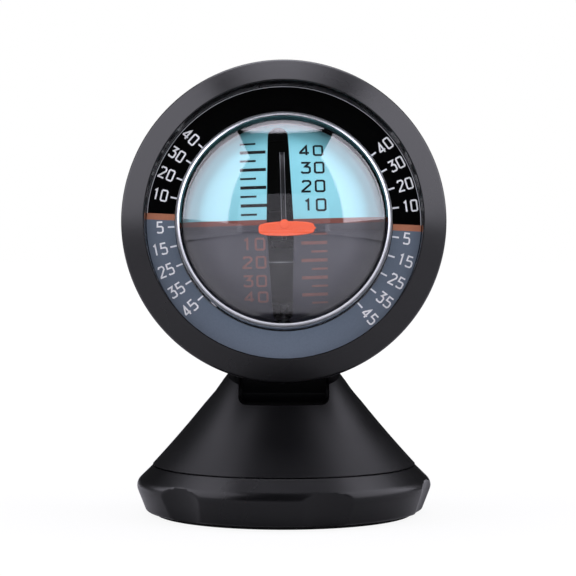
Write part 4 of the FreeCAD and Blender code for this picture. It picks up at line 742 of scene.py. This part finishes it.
def dial_ring():
    outline = rounded([
        (DIAL_INNER, DIAL_BACK), (DIAL_OUTER, DIAL_BACK),
        (DIAL_OUTER, DIAL_FACE, 0.1), (DIAL_INNER, DIAL_FACE, 0.1),
    ])
    return even_shading(lathe("dial_ring", outline, HEAD, dial_inks, steps=256))


def turn_of(place, middle):
    return math.degrees(math.atan2(place[1] - middle[1], place[0] - middle[0]))


def dome():
    """The dome's section from the flange up the side, over the bead and the groove, and back inside."""
    front = DIAL_BACK - FLANGE_GAP
    inner = DOME_SWEEP - DOME_WALL
    middle = (0.0, DOME_REACH - DOME_SWEEP)
    corner_radius = DOME_SHOULDER - DOME_WALL
    corner = (corner_radius, middle[1] + math.sqrt(inner ** 2 - corner_radius ** 2))
    start = math.radians(BEAD_TURN)
    bead_radius = (DOME_SHOULDER - BEAD_START[0]) / (1 - math.cos(start))
    bead_middle = (DOME_SHOULDER - bead_radius, BEAD_START[1] - bead_radius * math.sin(start))
    rim = DIAL_OUTER - RIM_GAP
    outline = [(DOME_SIDE - DOME_WALL, FLANGE_BACK), (rim, FLANGE_BACK), (rim, front), (DOME_SIDE, front)]
    outline += arc_points(bead_middle, bead_radius, 0, BEAD_TURN, 12)
    outline += [GROOVE[1]] + arc_points(middle, DOME_SWEEP, turn_of(GROOVE[0], middle), 90, 56)[:-1]
    outline += [(0.0, DOME_REACH), (0.0, DOME_REACH - DOME_WALL)]
    outline += arc_points(middle, inner, 90, turn_of(corner, middle), 56)[1:]
    piece = lathe("dome", outline, HEAD, dome_glass, steps=256)
    piece.data.materials.append(bright_edge)
    back = HEAD.inverted()
    for face in piece.data.polygons:
        place = back @ face.center
        if BEAD_START[0] * MM < math.hypot(place.x, place.y) and bead_middle[1] * MM < place.z:
            face.material_index = 1
    print("bead radius", round(bead_radius, 2), "mm")
    return even_shading(piece)


put_on(dial_ring(), "head", "dial_ring")
put_on(dome(), "head", "dome_lens")

# %% [markdown]
# ## Digits
# The print uses squared digits with round corners. A font would bring its own shapes, so each digit
# is one path on a grid 1 wide and 1.6 high. A path becomes a thin closed strip: every
# point gets a left and a right neighbour, a top and a bottom. On the ball the strip is cut finely
# and laid on the sphere.

# %% Digit strokes
DIGITS = {
    "0": [(0.15, 0), (0.85, 0), (1, 0.15), (1, 1.45), (0.85, 1.6), (0.15, 1.6), (0, 1.45), (0, 0.15)],
    "1": [(0.3, 1.35), (0.62, 1.6), (0.62, 0)],
    "2": [(0.05, 1.35), (0.2, 1.6), (0.8, 1.6), (0.98, 1.4), (0.98, 1.1), (0.02, 0.08), (0.02, 0), (1, 0)],
    "3": [(0.02, 1.6), (0.95, 1.6), (0.45, 0.98), (0.8, 0.96), (1, 0.78), (1, 0.18), (0.82, 0), (0.18, 0),
          (0, 0.2)],
    "4": [(0.72, 0), (0.72, 1.6), (0, 0.5), (0, 0.4), (1.02, 0.4)],
    "5": [(0.95, 1.6), (0.1, 1.6), (0.05, 0.92), (0.8, 0.92), (1, 0.74), (1, 0.2), (0.8, 0), (0.15, 0),
          (0, 0.15)],
}
CLOSED_DIGIT = "0"
DIGIT_HIGH = 1.6
DIGIT_STEP = 0.25


def fine_path(points, closed):
    """A path with points added every quarter of a millimetre."""
    path = []
    ends = points + [points[0]] if closed else points
    for start, end in zip(ends, ends[1:]):
        pieces = max(1, int(math.dist(start, end) / DIGIT_STEP))
        path += [
            (start[0] + (end[0] - start[0]) * k / pieces, start[1] + (end[1] - start[1]) * k / pieces)
            for k in range(pieces)
        ]
    return path if closed else path + [points[-1]]


def strip(points, closed, width, lay, vertices, faces):
    """Adds one stroke as a closed strip; lay(x, y, top) gives the place of a point."""
    path = fine_path(points, closed)
    count = len(path)
    first = len(vertices)
    for index, (x, y) in enumerate(path):
        ahead = path[(index + 1) % count] if closed or index + 1 < count else path[index]
        behind = path[index - 1] if closed or index else path[index]
        into = Vector((x - behind[0], y - behind[1]))
        out = Vector((ahead[0] - x, ahead[1] - y))
        into = into.normalized() if into.length else out.normalized()
        out = out.normalized() if out.length else into
        along = (into + out).normalized()
        across = Vector((-along.y, along.x)) * width / 2 / max(0.5, along.dot(out))
        for top in (0, 1):
            vertices.append(lay(x + across.x, y + across.y, top))
            vertices.append(lay(x - across.x, y - across.y, top))
    for index in range(count if closed else count - 1):
        a = first + 4 * index
        b = first + 4 * ((index + 1) % count)
        faces += [(a, b, b + 1, a + 1), (a + 2, a + 3, b + 3, b + 2)]
        faces += [(a, a + 2, b + 2, b), (a + 1, b + 1, b + 3, a + 3)]
    if not closed:
        last = first + 4 * (count - 1)
        faces += [(first, first + 1, first + 3, first + 2), (last, last + 2, last + 3, last + 1)]


def number(text, middle, size, stroke, turn, lay, vertices, faces):
    """Adds a number, centred on a point and turned. Its size is digit width, gap and height."""
    width, gap = size[0] - stroke, size[1]
    height = size[2] - stroke
    total = len(text) * width + (len(text) - 1) * gap
    for place, digit in enumerate(text):
        left = place * (width + gap) - total / 2
        path = []
        for x, y in DIGITS[digit]:
            along, up = left + x * width, (y / DIGIT_HIGH - 0.5) * height
            path.append((middle[0] + along * math.cos(turn) - up * math.sin(turn),
                         middle[1] + along * math.sin(turn) + up * math.cos(turn)))
        strip(path, digit == CLOSED_DIGIT, stroke, lay, vertices, faces)


# %% [markdown]
# ## Numbers on the dial
# Above the horizon the dial counts 10 to 40, and below it 5 to 45 in tens, on both sides. Each
# number lies along its own tick, so the left side reads inwards and the right side outwards.

# %% Dial numbers
DIAL_ABOVE = ((10, "10"), (20, "20"), (30, "30"), (40, "40"))
DIAL_BELOW = ((-5, "5"), (-15, "15"), (-25, "25"), (-35, "35"), (-45, "45"))
INK_THICK = 0.03
NUMBER_RADIUS = {1: 27.6, 2: 28.3}
DIAL_DIGIT = (1.62, 0.67, 2.72)
DIAL_STROKE = 0.36


def lay_on_dial(x, y, top):
    """The ink lies half in the face and half on it."""
    return (x, y, DIAL_FACE - INK_THICK / 2 + INK_THICK * top)


def dial_numbers():
    vertices, faces = [], []
    for angle, text in DIAL_ABOVE + DIAL_BELOW:
        radius = NUMBER_RADIUS[len(text)]
        turn = math.radians(angle)
        for side in (-1, 1):
            middle = (side * radius * math.cos(turn), radius * math.sin(turn))
            number(text, middle, DIAL_DIGIT, DIAL_STROKE, side * turn, lay_on_dial, vertices, faces)
    return mesh_piece("dial_numbers", vertices, faces, DIAL, white_ink, smooth=False)


put_on(dial_numbers(), "head", slot="dial_ring")

# %% [markdown]
# ## Ticks on the dial
# A tick is the same small bar again and again, at even angles. That is a job for Geometry Nodes:
# points are made, each is moved to its angle, a bar is instanced on it and turned, and the
# instances are made real. One tree does all four rows, because its sizes are inputs.

# %% Tick row tree
SOCKET_KINDS = {"Count": "NodeSocketInt", "Material": "NodeSocketMaterial"}
TICK_START, TICK_LONG, TICK_WIDE = 24.35, 1.5, 0.38


def new_tree(name, *labels):
    """A geometry tree with named inputs; returns the tree and the sockets that bring them."""
    tree = bpy.data.node_groups.new(name, "GeometryNodeTree")
    for label in labels:
        kind = SOCKET_KINDS.get(label, "NodeSocketFloat")
        tree.interface.new_socket(label, in_out="INPUT", socket_type=kind)
    tree.interface.new_socket("Geometry", in_out="OUTPUT", socket_type="NodeSocketGeometry")
    return tree, tree.nodes.new("NodeGroupInput").outputs


def vector_of(tree, **parts):
    """A vector from its parts X, Y and Z."""
    return add(tree, "ShaderNodeCombineXYZ", inputs=parts).outputs["Vector"]


def moved_to(tree, geometry, position):
    inputs = {"Geometry": geometry, "Position": position}
    return add(tree, "GeometryNodeSetPosition", inputs=inputs).outputs["Geometry"]


def bars_at(tree, count, position, bar, **pose):
    """Makes points, moves them, puts a bar on each and makes the bars real."""
    points = add(tree, "GeometryNodePoints", inputs={"Count": count}).outputs[0]
    inputs = {"Points": moved_to(tree, points, position), "Instance": bar, **pose}
    bars = add(tree, "GeometryNodeInstanceOnPoints", inputs=inputs).outputs["Instances"]
    return add(tree, "GeometryNodeRealizeInstances", inputs={"Geometry": bars}).outputs["Geometry"]


def end_tree(tree, geometry, material):
    """Gives the geometry its material and leads it out of the tree."""
    painted = add(tree, "GeometryNodeSetMaterial", inputs={"Geometry": geometry, "Material": material})
    add(tree, "NodeGroupOutput", inputs={"Geometry": painted.outputs["Geometry"]})
    return tree


def tick_row_tree():
    tree, given = new_tree(
        "Row of ticks", "Count", "First angle", "Step", "Inner radius", "Length", "Width", "Thickness",
        "Height", "Material",
    )
    index = add(tree, "GeometryNodeInputIndex").outputs["Index"]
    angle = calculated(tree, "MULTIPLY_ADD", index, given["Step"], given["First angle"])
    middle = calculated(tree, "MULTIPLY_ADD", given["Length"], 0.5, given["Inner radius"])
    x = calculated(tree, "MULTIPLY", middle, calculated(tree, "COSINE", angle))
    y = calculated(tree, "MULTIPLY", middle, calculated(tree, "SINE", angle))
    place = vector_of(tree, X=x, Y=y, Z=given["Height"])
    size = vector_of(tree, X=given["Length"], Y=given["Width"], Z=given["Thickness"])
    bar = add(tree, "GeometryNodeMeshCube", inputs={"Size": size}).outputs["Mesh"]
    turn = add(tree, "FunctionNodeEulerToRotation", inputs={0: vector_of(tree, Z=angle)}).outputs[0]
    bars = bars_at(tree, given["Count"], place, bar, Rotation=turn)
    return end_tree(tree, bars, given["Material"])


def grow(name, tree, place, **values):
    """Runs a geometry tree on an empty mesh and keeps the result as a plain mesh."""
    piece = new_object(name, bpy.data.meshes.new(name))
    step = piece.modifiers.new("grow", "NODES")
    step.node_group = tree
    names = {label.replace("_", " "): value for label, value in values.items()}
    for item in tree.interface.items_tree:
        if item.in_out == "INPUT":
            step[item.identifier] = names[item.name]
    settle(piece)
    piece.data.transform(place)
    return piece


def joined(name, pieces):
    """Several pieces as one, with their first one's material."""
    work = bmesh.new()
    for piece in pieces:
        work.from_mesh(piece.data)
    mesh = bpy.data.meshes.new(name)
    work.to_mesh(mesh)
    work.free()
    mesh.materials.append(pieces[0].data.materials[0])
    for piece in pieces:
        bpy.data.objects.remove(piece)
    return new_object(name, mesh)


tick_rows = tick_row_tree()
rows = []
for side in (0, 1):
    for first, step, count in ((10, 10, 4), (-5, -10, 5)):
        start, stride = math.radians(first), math.radians(step)
        if side:
            start, stride = math.pi - start, -stride
        rows.append(grow(
            f"ticks_{side}_{count}", tick_rows, DIAL, Count=count, First_angle=start, Step=stride,
            Inner_radius=TICK_START * MM, Length=TICK_LONG * MM, Width=TICK_WIDE * MM,
            Thickness=INK_THICK * MM, Height=DIAL_FACE * MM, Material=white_ink,
        ))
put_on(joined("dial_ticks", rows), "head", slot="dial_ring")

# %% [markdown]
# ## Ball shells
# Each half is a thin moulded shell, open at the back for the bearings and slotted in front for
# the pointer's arm. A turned half sphere with a real wall is cut by two closed tools: a cone for the
# opening and a long slot with round ends. The seam between the colours stays exact, because each
# half is its own piece. The inside and the slot's walls get black ABS as painted shade, which keeps the slot
# dark.

# %% Ball shells
BALL_RADIUS = 22.8
BALL_WALL = 1.3
BALL_AXIS = BALL @ Matrix.Rotation(-math.pi / 2, 4, "X")
BAND_LOW, BAND_HIGH, BAND_INSIDE, BAND_PROUD = 0.25, 1.35, 20.0, 0.02
OPENING = math.radians(66)
TOOL_DEPTH = 30.0
SLOT_MIDDLE, SLOT_END, SLOT_REACH, SLOT_SHIFT, SLOT_RISE = 2.9, 2.2, 19.2, -0.8, 0.3
SLOT_FROM_ABOVE, SLOT_FROM_BELOW = 2.0, 4.0
BOSS_BORE, BOSS_RADIUS, BOSS_LONG, BOSS_PLACE = 0.85, 2.3, 3.4, 17.0
WALL_LEAN, SHADE_SLOT_FROM, SHADE_INSIDE = 0.1, 2.5, 1.1


def ball_cutters(slot_start):
    """The rear opening and the front slot as closed tools in the ball's frame."""
    cone_outline = [(0.0, 0.0), (TOOL_DEPTH * math.tan(OPENING), -TOOL_DEPTH), (0.0, -TOOL_DEPTH)]
    outline = [
        (SLOT_SHIFT + SLOT_MIDDLE, SLOT_RISE),
        *arc_points((SLOT_SHIFT, SLOT_RISE + SLOT_REACH), SLOT_END, 0, 180, 17),
        (SLOT_SHIFT - SLOT_MIDDLE, SLOT_RISE),
        *arc_points((SLOT_SHIFT, SLOT_RISE - SLOT_REACH), SLOT_END, 180, 360, 17),
    ]
    return [
        lathe("opening", cone_outline, BALL, case_abs, steps=96),
        slab("front_slot", outline, slot_start, TOOL_DEPTH, "Z", BALL),
    ]


def rise(height, radius):
    """The angle in degrees at which a height lies on a circle."""
    return math.degrees(math.asin(height / radius))


def half_ball(name, side, material):
    """One shell: a turned wall from the colour seam to the pole, then cut."""
    inner = BALL_RADIUS - BALL_WALL
    seam = BAND_HIGH if side > 0 else BAND_LOW
    outside = arc_points((0, 0), BALL_RADIUS, rise(seam, BALL_RADIUS), side * 90, 72)
    inside = arc_points((0, 0), inner, side * 90, rise(seam, inner), 48)
    outline = outside[:-1] + [(0.0, side * BALL_RADIUS), (0.0, side * inner)] + inside[1:]
    slot_start = SLOT_FROM_ABOVE if side > 0 else SLOT_FROM_BELOW
    piece = carve(lathe(name, outline, BALL_AXIS, material, steps=256), ball_cutters(slot_start))
    piece.data.materials.append(case_abs)
    back = BALL.inverted()
    # The slot's walls and the inside of the shell get black ABS: painted shade that keeps the slot dark.
    for face in piece.data.polygons:
        place = back @ face.center
        lean = abs((back.to_3x3() @ face.normal).z)
        in_shaded_slot = lean < WALL_LEAN and place.z > SHADE_SLOT_FROM * MM
        if in_shaded_slot or place.length < (BALL_RADIUS - SHADE_INSIDE) * MM:
            face.material_index = 1
    return piece


def horizon_ring():
    """The narrow ring between the shells, a hair proud of them, and the bosses for the axle."""
    low, high = rise(BAND_LOW, BALL_RADIUS), rise(BAND_HIGH, BALL_RADIUS)
    outside = arc_points((0, 0), BALL_RADIUS + BAND_PROUD, low, high, 5)
    outline = outside + [(BAND_INSIDE, BAND_HIGH), (BAND_INSIDE, BAND_LOW)]
    ring = lathe("horizon_ring", outline, BALL_AXIS, horizon_brown, steps=256)
    pieces = [carve(ring, ball_cutters(SLOT_FROM_BELOW))]
    wall = [(BOSS_BORE, 0), (BOSS_RADIUS, 0), (BOSS_RADIUS, BOSS_LONG), (BOSS_BORE, BOSS_LONG)]
    for side in (-1, 1):
        shift = Matrix.Translation((side * BOSS_PLACE * MM, 0, 0))
        place = shift @ Matrix.Rotation(side * math.pi / 2, 4, "Y")
        pieces.append(lathe(f"boss_{side + 1}", wall, BALL @ place, horizon_brown, steps=48))
    return joined("horizon_ring_and_bosses", pieces)


put_on(half_ball("sky_half", 1, sky_shell), "ball", "ball_upper_shell")
put_on(half_ball("earth_half", -1, earth_shell), "ball", "ball_lower_shell")
put_on(horizon_ring(), "ball", "horizon_band")

# %% [markdown]
# ## Print on the ball
# The scale goes up the ball by about 2 mm for every 5 degrees. The digits are the same paths as
# on the dial, but each point is laid on the sphere, and so the print narrows towards the top by
# itself. The lower half's print has faded to a reddish brown.

# %% Ball numbers
BALL_NUMBERS_UP = (("10", 6.6, 4.25), ("20", 6.5, 8.3), ("30", 6.45, 12.3), ("40", 6.35, 16.1))
BALL_NUMBERS_DOWN = (("10", -6.7, -3.8), ("20", -6.6, -7.7), ("30", -6.6, -11.75), ("40", -6.4, -15.3))
BALL_INK = (-0.01, 0.025)
BALL_DIGIT = (2.3, 1.1, 2.8)
BALL_STROKE = 0.44
BALL_SQUEEZE = 0.38


def lay_on_ball(x, y, top):
    radius = BALL_RADIUS + BALL_INK[top]
    return (x, y, math.sqrt(radius ** 2 - x ** 2 - y ** 2))


def ball_numbers(name, rows_of_text, material):
    """Numbers on the ball, a little less high where the sphere turns away."""
    vertices, faces = [], []
    width, gap, height = BALL_DIGIT
    for text, x, y in rows_of_text:
        squeeze = math.sqrt(1 - (y / BALL_RADIUS) ** 2)
        size = (width, gap, height * (1 - BALL_SQUEEZE + BALL_SQUEEZE * squeeze))
        number(text, (x, y), size, BALL_STROKE, 0.0, lay_on_ball, vertices, faces)
    return mesh_piece(name, vertices, faces, BALL, material, smooth=False)


put_on(ball_numbers("ball_numbers_up", BALL_NUMBERS_UP, black_ink), "ball", slot="ball_upper_shell")
put_on(ball_numbers("ball_numbers_down", BALL_NUMBERS_DOWN, faded_ink), "ball", slot="ball_lower_shell")

# %% [markdown]
# ## Ticks on the ball
# The ball's ticks stand in a column: short at each odd five degrees, long at each ten, all lined up
# on their outer ends. A second tree makes the column flat and then lifts every point onto the
# sphere, so one tree serves the black ticks above and the faded ones below.

# %% Tick column tree
def tick_column_tree():
    tree, given = new_tree(
        "Column of ticks on a ball", "Count", "Spacing", "Start", "Outer end", "Side", "Short length",
        "Long length", "Short width", "Long width", "Ball radius", "Thickness", "Material",
    )
    index = add(tree, "GeometryNodeInputIndex").outputs["Index"]
    is_long = calculated(tree, "MODULO", index, 2.0)

    def by_turns(what):
        """The short value at even places and the long one at odd places."""
        short = given[f"Short {what}"]
        more = calculated(tree, "SUBTRACT", given[f"Long {what}"], short)
        return calculated(tree, "MULTIPLY_ADD", is_long, more, short)

    length = by_turns("length")
    size = vector_of(tree, X=length, Y=by_turns("width"), Z=given["Thickness"])
    middle = calculated(tree, "MULTIPLY_ADD", length, -0.5, given["Outer end"])
    x = calculated(tree, "MULTIPLY", middle, given["Side"])
    y = calculated(tree, "MULTIPLY_ADD", index, given["Spacing"], given["Start"])
    cube = {"Size": (1.0, 1.0, 1.0), "Vertices X": 16, "Vertices Y": 3}
    bar = add(tree, "GeometryNodeMeshCube", inputs=cube).outputs["Mesh"]
    bars = bars_at(tree, given["Count"], vector_of(tree, X=x, Y=y), bar, Scale=size)
    position = add(tree, "GeometryNodeInputPosition").outputs["Position"]
    spot = add(tree, "ShaderNodeSeparateXYZ", inputs={"Vector": position}).outputs
    radius = calculated(tree, "ADD", given["Ball radius"], spot["Z"])
    radius_square = calculated(tree, "MULTIPLY", radius, radius)
    y_square = calculated(tree, "MULTIPLY", spot["Y"], spot["Y"])
    flat = calculated(tree, "MULTIPLY_ADD", spot["X"], spot["X"], y_square)
    depth = calculated(tree, "SQRT", calculated(tree, "SUBTRACT", radius_square, flat))
    bent = moved_to(tree, bars, vector_of(tree, X=spot["X"], Y=spot["Y"], Z=depth))
    return end_tree(tree, bent, given["Material"])


tick_columns = tick_column_tree()
for name, side, start, spacing, material, slot_name in (
    ("ball_ticks_up", -1.0, 2.52, 1.93, black_ink, "ball_upper_shell"),
    ("ball_ticks_down", 1.0, -1.95, -1.87, faded_ink, "ball_lower_shell"),
):
    column = grow(
        name, tick_columns, BALL, Count=9, Start=start * MM, Spacing=spacing * MM, Outer_end=9.15 * MM,
        Side=side, Short_length=3.45 * MM, Long_length=5.6 * MM, Short_width=0.44 * MM, Long_width=0.68 * MM,
        Ball_radius=(BALL_RADIUS + 0.01) * MM, Thickness=INK_THICK * MM, Material=material,
    )
    put_on(column, "ball", slot=slot_name)

# %% [markdown]
# ## Pointer
# The pointer is a small moulded bar in front of the ball, a long shallow lens in outline with
# a boss in the middle of its top edge. It is bent to the ball's curve, so a flat outline is laid on
# a sphere, like the print, with an inset step that gives it a rim.

# %% Pointer
POINTER_MIDDLE = (0.53, -0.65)
POINTER_HALF, POINTER_HIGH, POINTER_END = 5.95, 1.56, 1.08
POINTER_CORNER, POINTER_TIP = 0.75, 0.4
POINTER_RINGS = ((0.25, 23.15), (0.0, 23.35), (0.0, 23.75), (0.12, 23.9), (0.3, 23.93), (0.45, 23.88))
KNOB_RADIUS, KNOB_BACK, KNOB_FRONT = 1.05, 23.3, 24.1
KNOB_SHIFT, KNOB_RISE = 0.1, 0.95


def pointer_outline(inset):
    """The outline, anticlockwise from the middle of the left end, drawn smaller by an inset."""
    half, corner = POINTER_HALF - inset, max(POINTER_CORNER - inset, 0.1)
    high, end = POINTER_HIGH - inset, POINTER_END - inset
    left = arc_points((corner - half, corner - end), corner, 180, 265, 7)
    flat = [corner - half + 2 * (half - corner) * k / 16 for k in range(1, 16)]
    under = left + [(x, -(end + (high - end) * (1 - (x / half) ** 2))) for x in flat]
    under += [(-x, y) for x, y in left[::-1]]
    outline = [(-half, 0.0)] + under + [(half + POINTER_TIP, 0.0)] + [(x, -y) for x, y in under[::-1]]
    return [(x + POINTER_MIDDLE[0], y + POINTER_MIDDLE[1]) for x, y in outline]


def lay_at(radius):
    return lambda x, y: (x, y, math.sqrt(radius ** 2 - x ** 2 - y ** 2))


def pointer():
    """Rings of the same outline from the back, over the edge, and inwards over the face."""
    vertices = []
    count = len(pointer_outline(0))
    for inset, radius in POINTER_RINGS:
        lay = lay_at(radius)
        vertices += [lay(x, y) for x, y in pointer_outline(inset)]
    faces = []
    for ring in range(len(POINTER_RINGS) - 1):
        low, high = ring * count, (ring + 1) * count
        faces += [(low + i, low + (i + 1) % count, high + (i + 1) % count, high + i) for i in range(count)]
    tip = count // 2
    for start in (0, (len(POINTER_RINGS) - 1) * count):
        faces += [(start, start + 1, start + count - 1), (start + tip - 1, start + tip, start + tip + 1)]
        end = start + count
        faces += [(start + i, start + i + 1, end - 1 - i, end - i) for i in range(1, tip - 1)]
    return mesh_piece("pointer_bar", vertices, faces, BALL, pointer_orange)


def pointer_knob():
    """The boss on the top edge: a short round pin seen end on."""
    wall = rounded([
        (0.0, KNOB_BACK), (KNOB_RADIUS, KNOB_BACK), (KNOB_RADIUS, KNOB_FRONT, 0.3), (0.0, KNOB_FRONT),
    ])
    lift = Matrix.Translation(Vector((KNOB_SHIFT, POINTER_MIDDLE[1] + KNOB_RISE, 0.0)) * MM)
    return lathe("pointer_knob", wall, BALL @ lift, pointer_orange, steps=48)


put_on(joined("pointer_bar_and_knob", [pointer(), pointer_knob()]), "roll_frame", "pointer")

# %% [markdown]
# ## The small parts
# The remaining nodes have the right shape already, so each only gets its finish: zinc plated
# screws, brass bearings, steel shafts, the painted weight and the painted blade.

# %% Finishes for the carried-over nodes
FINISHES = {
    case_abs: ("base_plate", "neck_bracket", "rear_cap"),
    nylon: ("hinge_washers", "roll_hub"),
    blade_paint_and_highlight: ("pointer_arm",),
    acetal: ("swivel_bush", "swivel_ring"),
    foam: ("foot_pad",),
    brass: ("shaft_bushes",),
    ground_steel: ("roll_shaft", "pitch_axle"),
    weight_paint_and_highlight: ("counterweight",),
    zinc: ("base_screws", "swivel_screw", "swivel_washer", "neck_screws", "weight_screw"),
    black_steel: ("hinge_screw", "hinge_nut", "case_screws", "shaft_collar"),
    spring_steel: ("spring_washer", "shaft_clip"),
}
for finish, names in FINISHES.items():
    for name in names:
        nodes[name].data.materials.clear()
        nodes[name].data.materials.append(finish)
print("finished nodes:", sum(len(names) for names in FINISHES.values()))

# %% [markdown]
# ## Floor and room
# The photograph has a plain white ground. To the camera the floor glows white, a little less near
# the foot, where it keeps a soft shadow. To all other rays it is a pale matt face that returns the
# lamps' light from below. The world is white to the camera only, and gives next to no light.

# %% Floor and world
FLOOR_HALF = 4.0
FLOOR_GLOW = 1.05
GLOW_SPAN = (60 * MM, 300 * MM)
WORLD_LIGHT = 0.02


def floor():
    corners = [(x * FLOOR_HALF, y * FLOOR_HALF, 0) for x, y in ((-1, -1), (1, -1), (1, 1), (-1, 1))]
    mesh = bpy.data.meshes.new("floor")
    mesh.from_pydata(corners, [], [(0, 1, 2, 3)])
    material, tree = new_material("White floor")
    rough = spread(tree, noise(tree, object_place(tree), 40.0), 0.8, 0.9)
    pale = principled(tree, linear("#bebebe"), rough, Specular_IOR_Level=0.0)
    bright = add(tree, "ShaderNodeEmission", inputs={"Color": linear("#ffffff"), "Strength": FLOOR_GLOW})
    share = spread(tree, length_of(tree, object_place(tree)), 0.85, 1.0, GLOW_SPAN)
    seen = calculated(tree, "MULTIPLY", add(tree, "ShaderNodeLightPath").outputs["Is Camera Ray"], share)
    mesh.materials.append(show(material, either(tree, seen, pale, bright.outputs["Emission"])))
    new_object("floor", mesh)


def room():
    world = bpy.data.worlds.new("Room")
    bpy.context.scene.world = world
    world.use_nodes = True
    tree = world.node_tree
    tree.nodes.clear()
    strength = spread(tree, add(tree, "ShaderNodeLightPath").outputs["Is Camera Ray"], WORLD_LIGHT, 1.0)
    light = add(tree, "ShaderNodeBackground", inputs={"Color": linear("#ffffff"), "Strength": strength})
    add(tree, "ShaderNodeOutputWorld", inputs={"Surface": light.outputs["Background"]})
    print("world light away from the camera:", WORLD_LIGHT)


floor()
room()

# %% [markdown]
# ## Softboxes
# The dome is a curved mirror, so the photograph shows where its lamps stood. Two big softboxes left
# and right make the pale veils, and a narrow skirt under each fills the gap to the floor. A round
# one overhead makes the crescent at the top, and a dim board behind the camera greys the slot. A last
# lamp fills the front without showing in any mirror. Cycles counts the dome's reflections as
# transmission rays, so a lamp can show in the dome and still be hidden from the glossy plastics.
# A lamp that looks evenly bright is set by its radiance; its watts follow from that and its area.

# %% Softboxes
def softbox(name, middle, towards, size, radiance, shape="RECTANGLE", in_dome=True, in_plastic=True):
    """A lamp in metres from the ball's middle, facing along a direction."""
    lamp = bpy.data.lights.new(name, "AREA")
    lamp.shape = shape
    lamp.size, lamp.size_y = size
    lamp.color = linear("#f4f2ff")[:3]
    area = size[0] * size[1] * (math.pi / 4 if shape == "ELLIPSE" else 1)
    lamp.energy = radiance * math.pi * area
    holder = new_object(name, lamp)
    holder.location = BALL_MIDDLE + Vector(middle)
    holder.rotation_euler = Vector(towards).to_track_quat("-Z", "Y").to_euler()
    holder.visible_glossy = in_plastic
    holder.visible_transmission = in_dome
    print(f"{name}: {lamp.energy:.1f} W")


softbox("softbox_left", (-0.5, -0.105, 0.55), (1, 0, 0), (0.77, 1.0), 3.0)
softbox("softbox_right", (0.5, -0.06, 0.51), (-1, 0, 0), (0.75, 0.92), 3.3)
softbox("skirt_left", (-0.5, -0.25, -0.005), (1, 0, 0), (1.0, 0.11), 0.68)
softbox("skirt_right", (0.5, -0.25, -0.005), (-1, 0, 0), (1.0, 0.11), 0.72)
softbox("softbox_top", (-0.01, 0.239, 0.6), (0, 0, -1), (0.6, 0.6), 4.0, shape="ELLIPSE")
softbox("board_front", (0.0, -1.2, 0.3), (0, 1, 0), (1.9, 0.72), 0.95, in_plastic=False)
softbox("fill_front", (0.0, -0.9, 0.25), (0, 1, -0.28), (0.7, 0.7), 2.6, in_dome=False, in_plastic=False)

# %% [markdown]
# ## Camera
# The camera stands half a metre away, nearly level with the ball, with the long lens that the
# photograph's flat perspective asks for.

# %% Camera
CAMERA_PLACE = Vector((0.93, -480.0, 63.6)) * MM
CAMERA_DIP = 1.49


def camera():
    lens = bpy.data.cameras.new("camera")
    lens.sensor_width = 36.0
    lens.lens = 131.9
    lens.clip_start = 0.01
    holder = new_object("camera", lens)
    holder.location = CAMERA_PLACE
    holder.rotation_euler = (math.radians(90 - CAMERA_DIP), 0.0, 0.0)
    bpy.context.scene.camera = holder
    print("lens:", round(lens.lens, 1), "mm")


camera()
bpy.context.scene.view_settings.view_transform = "Standard"
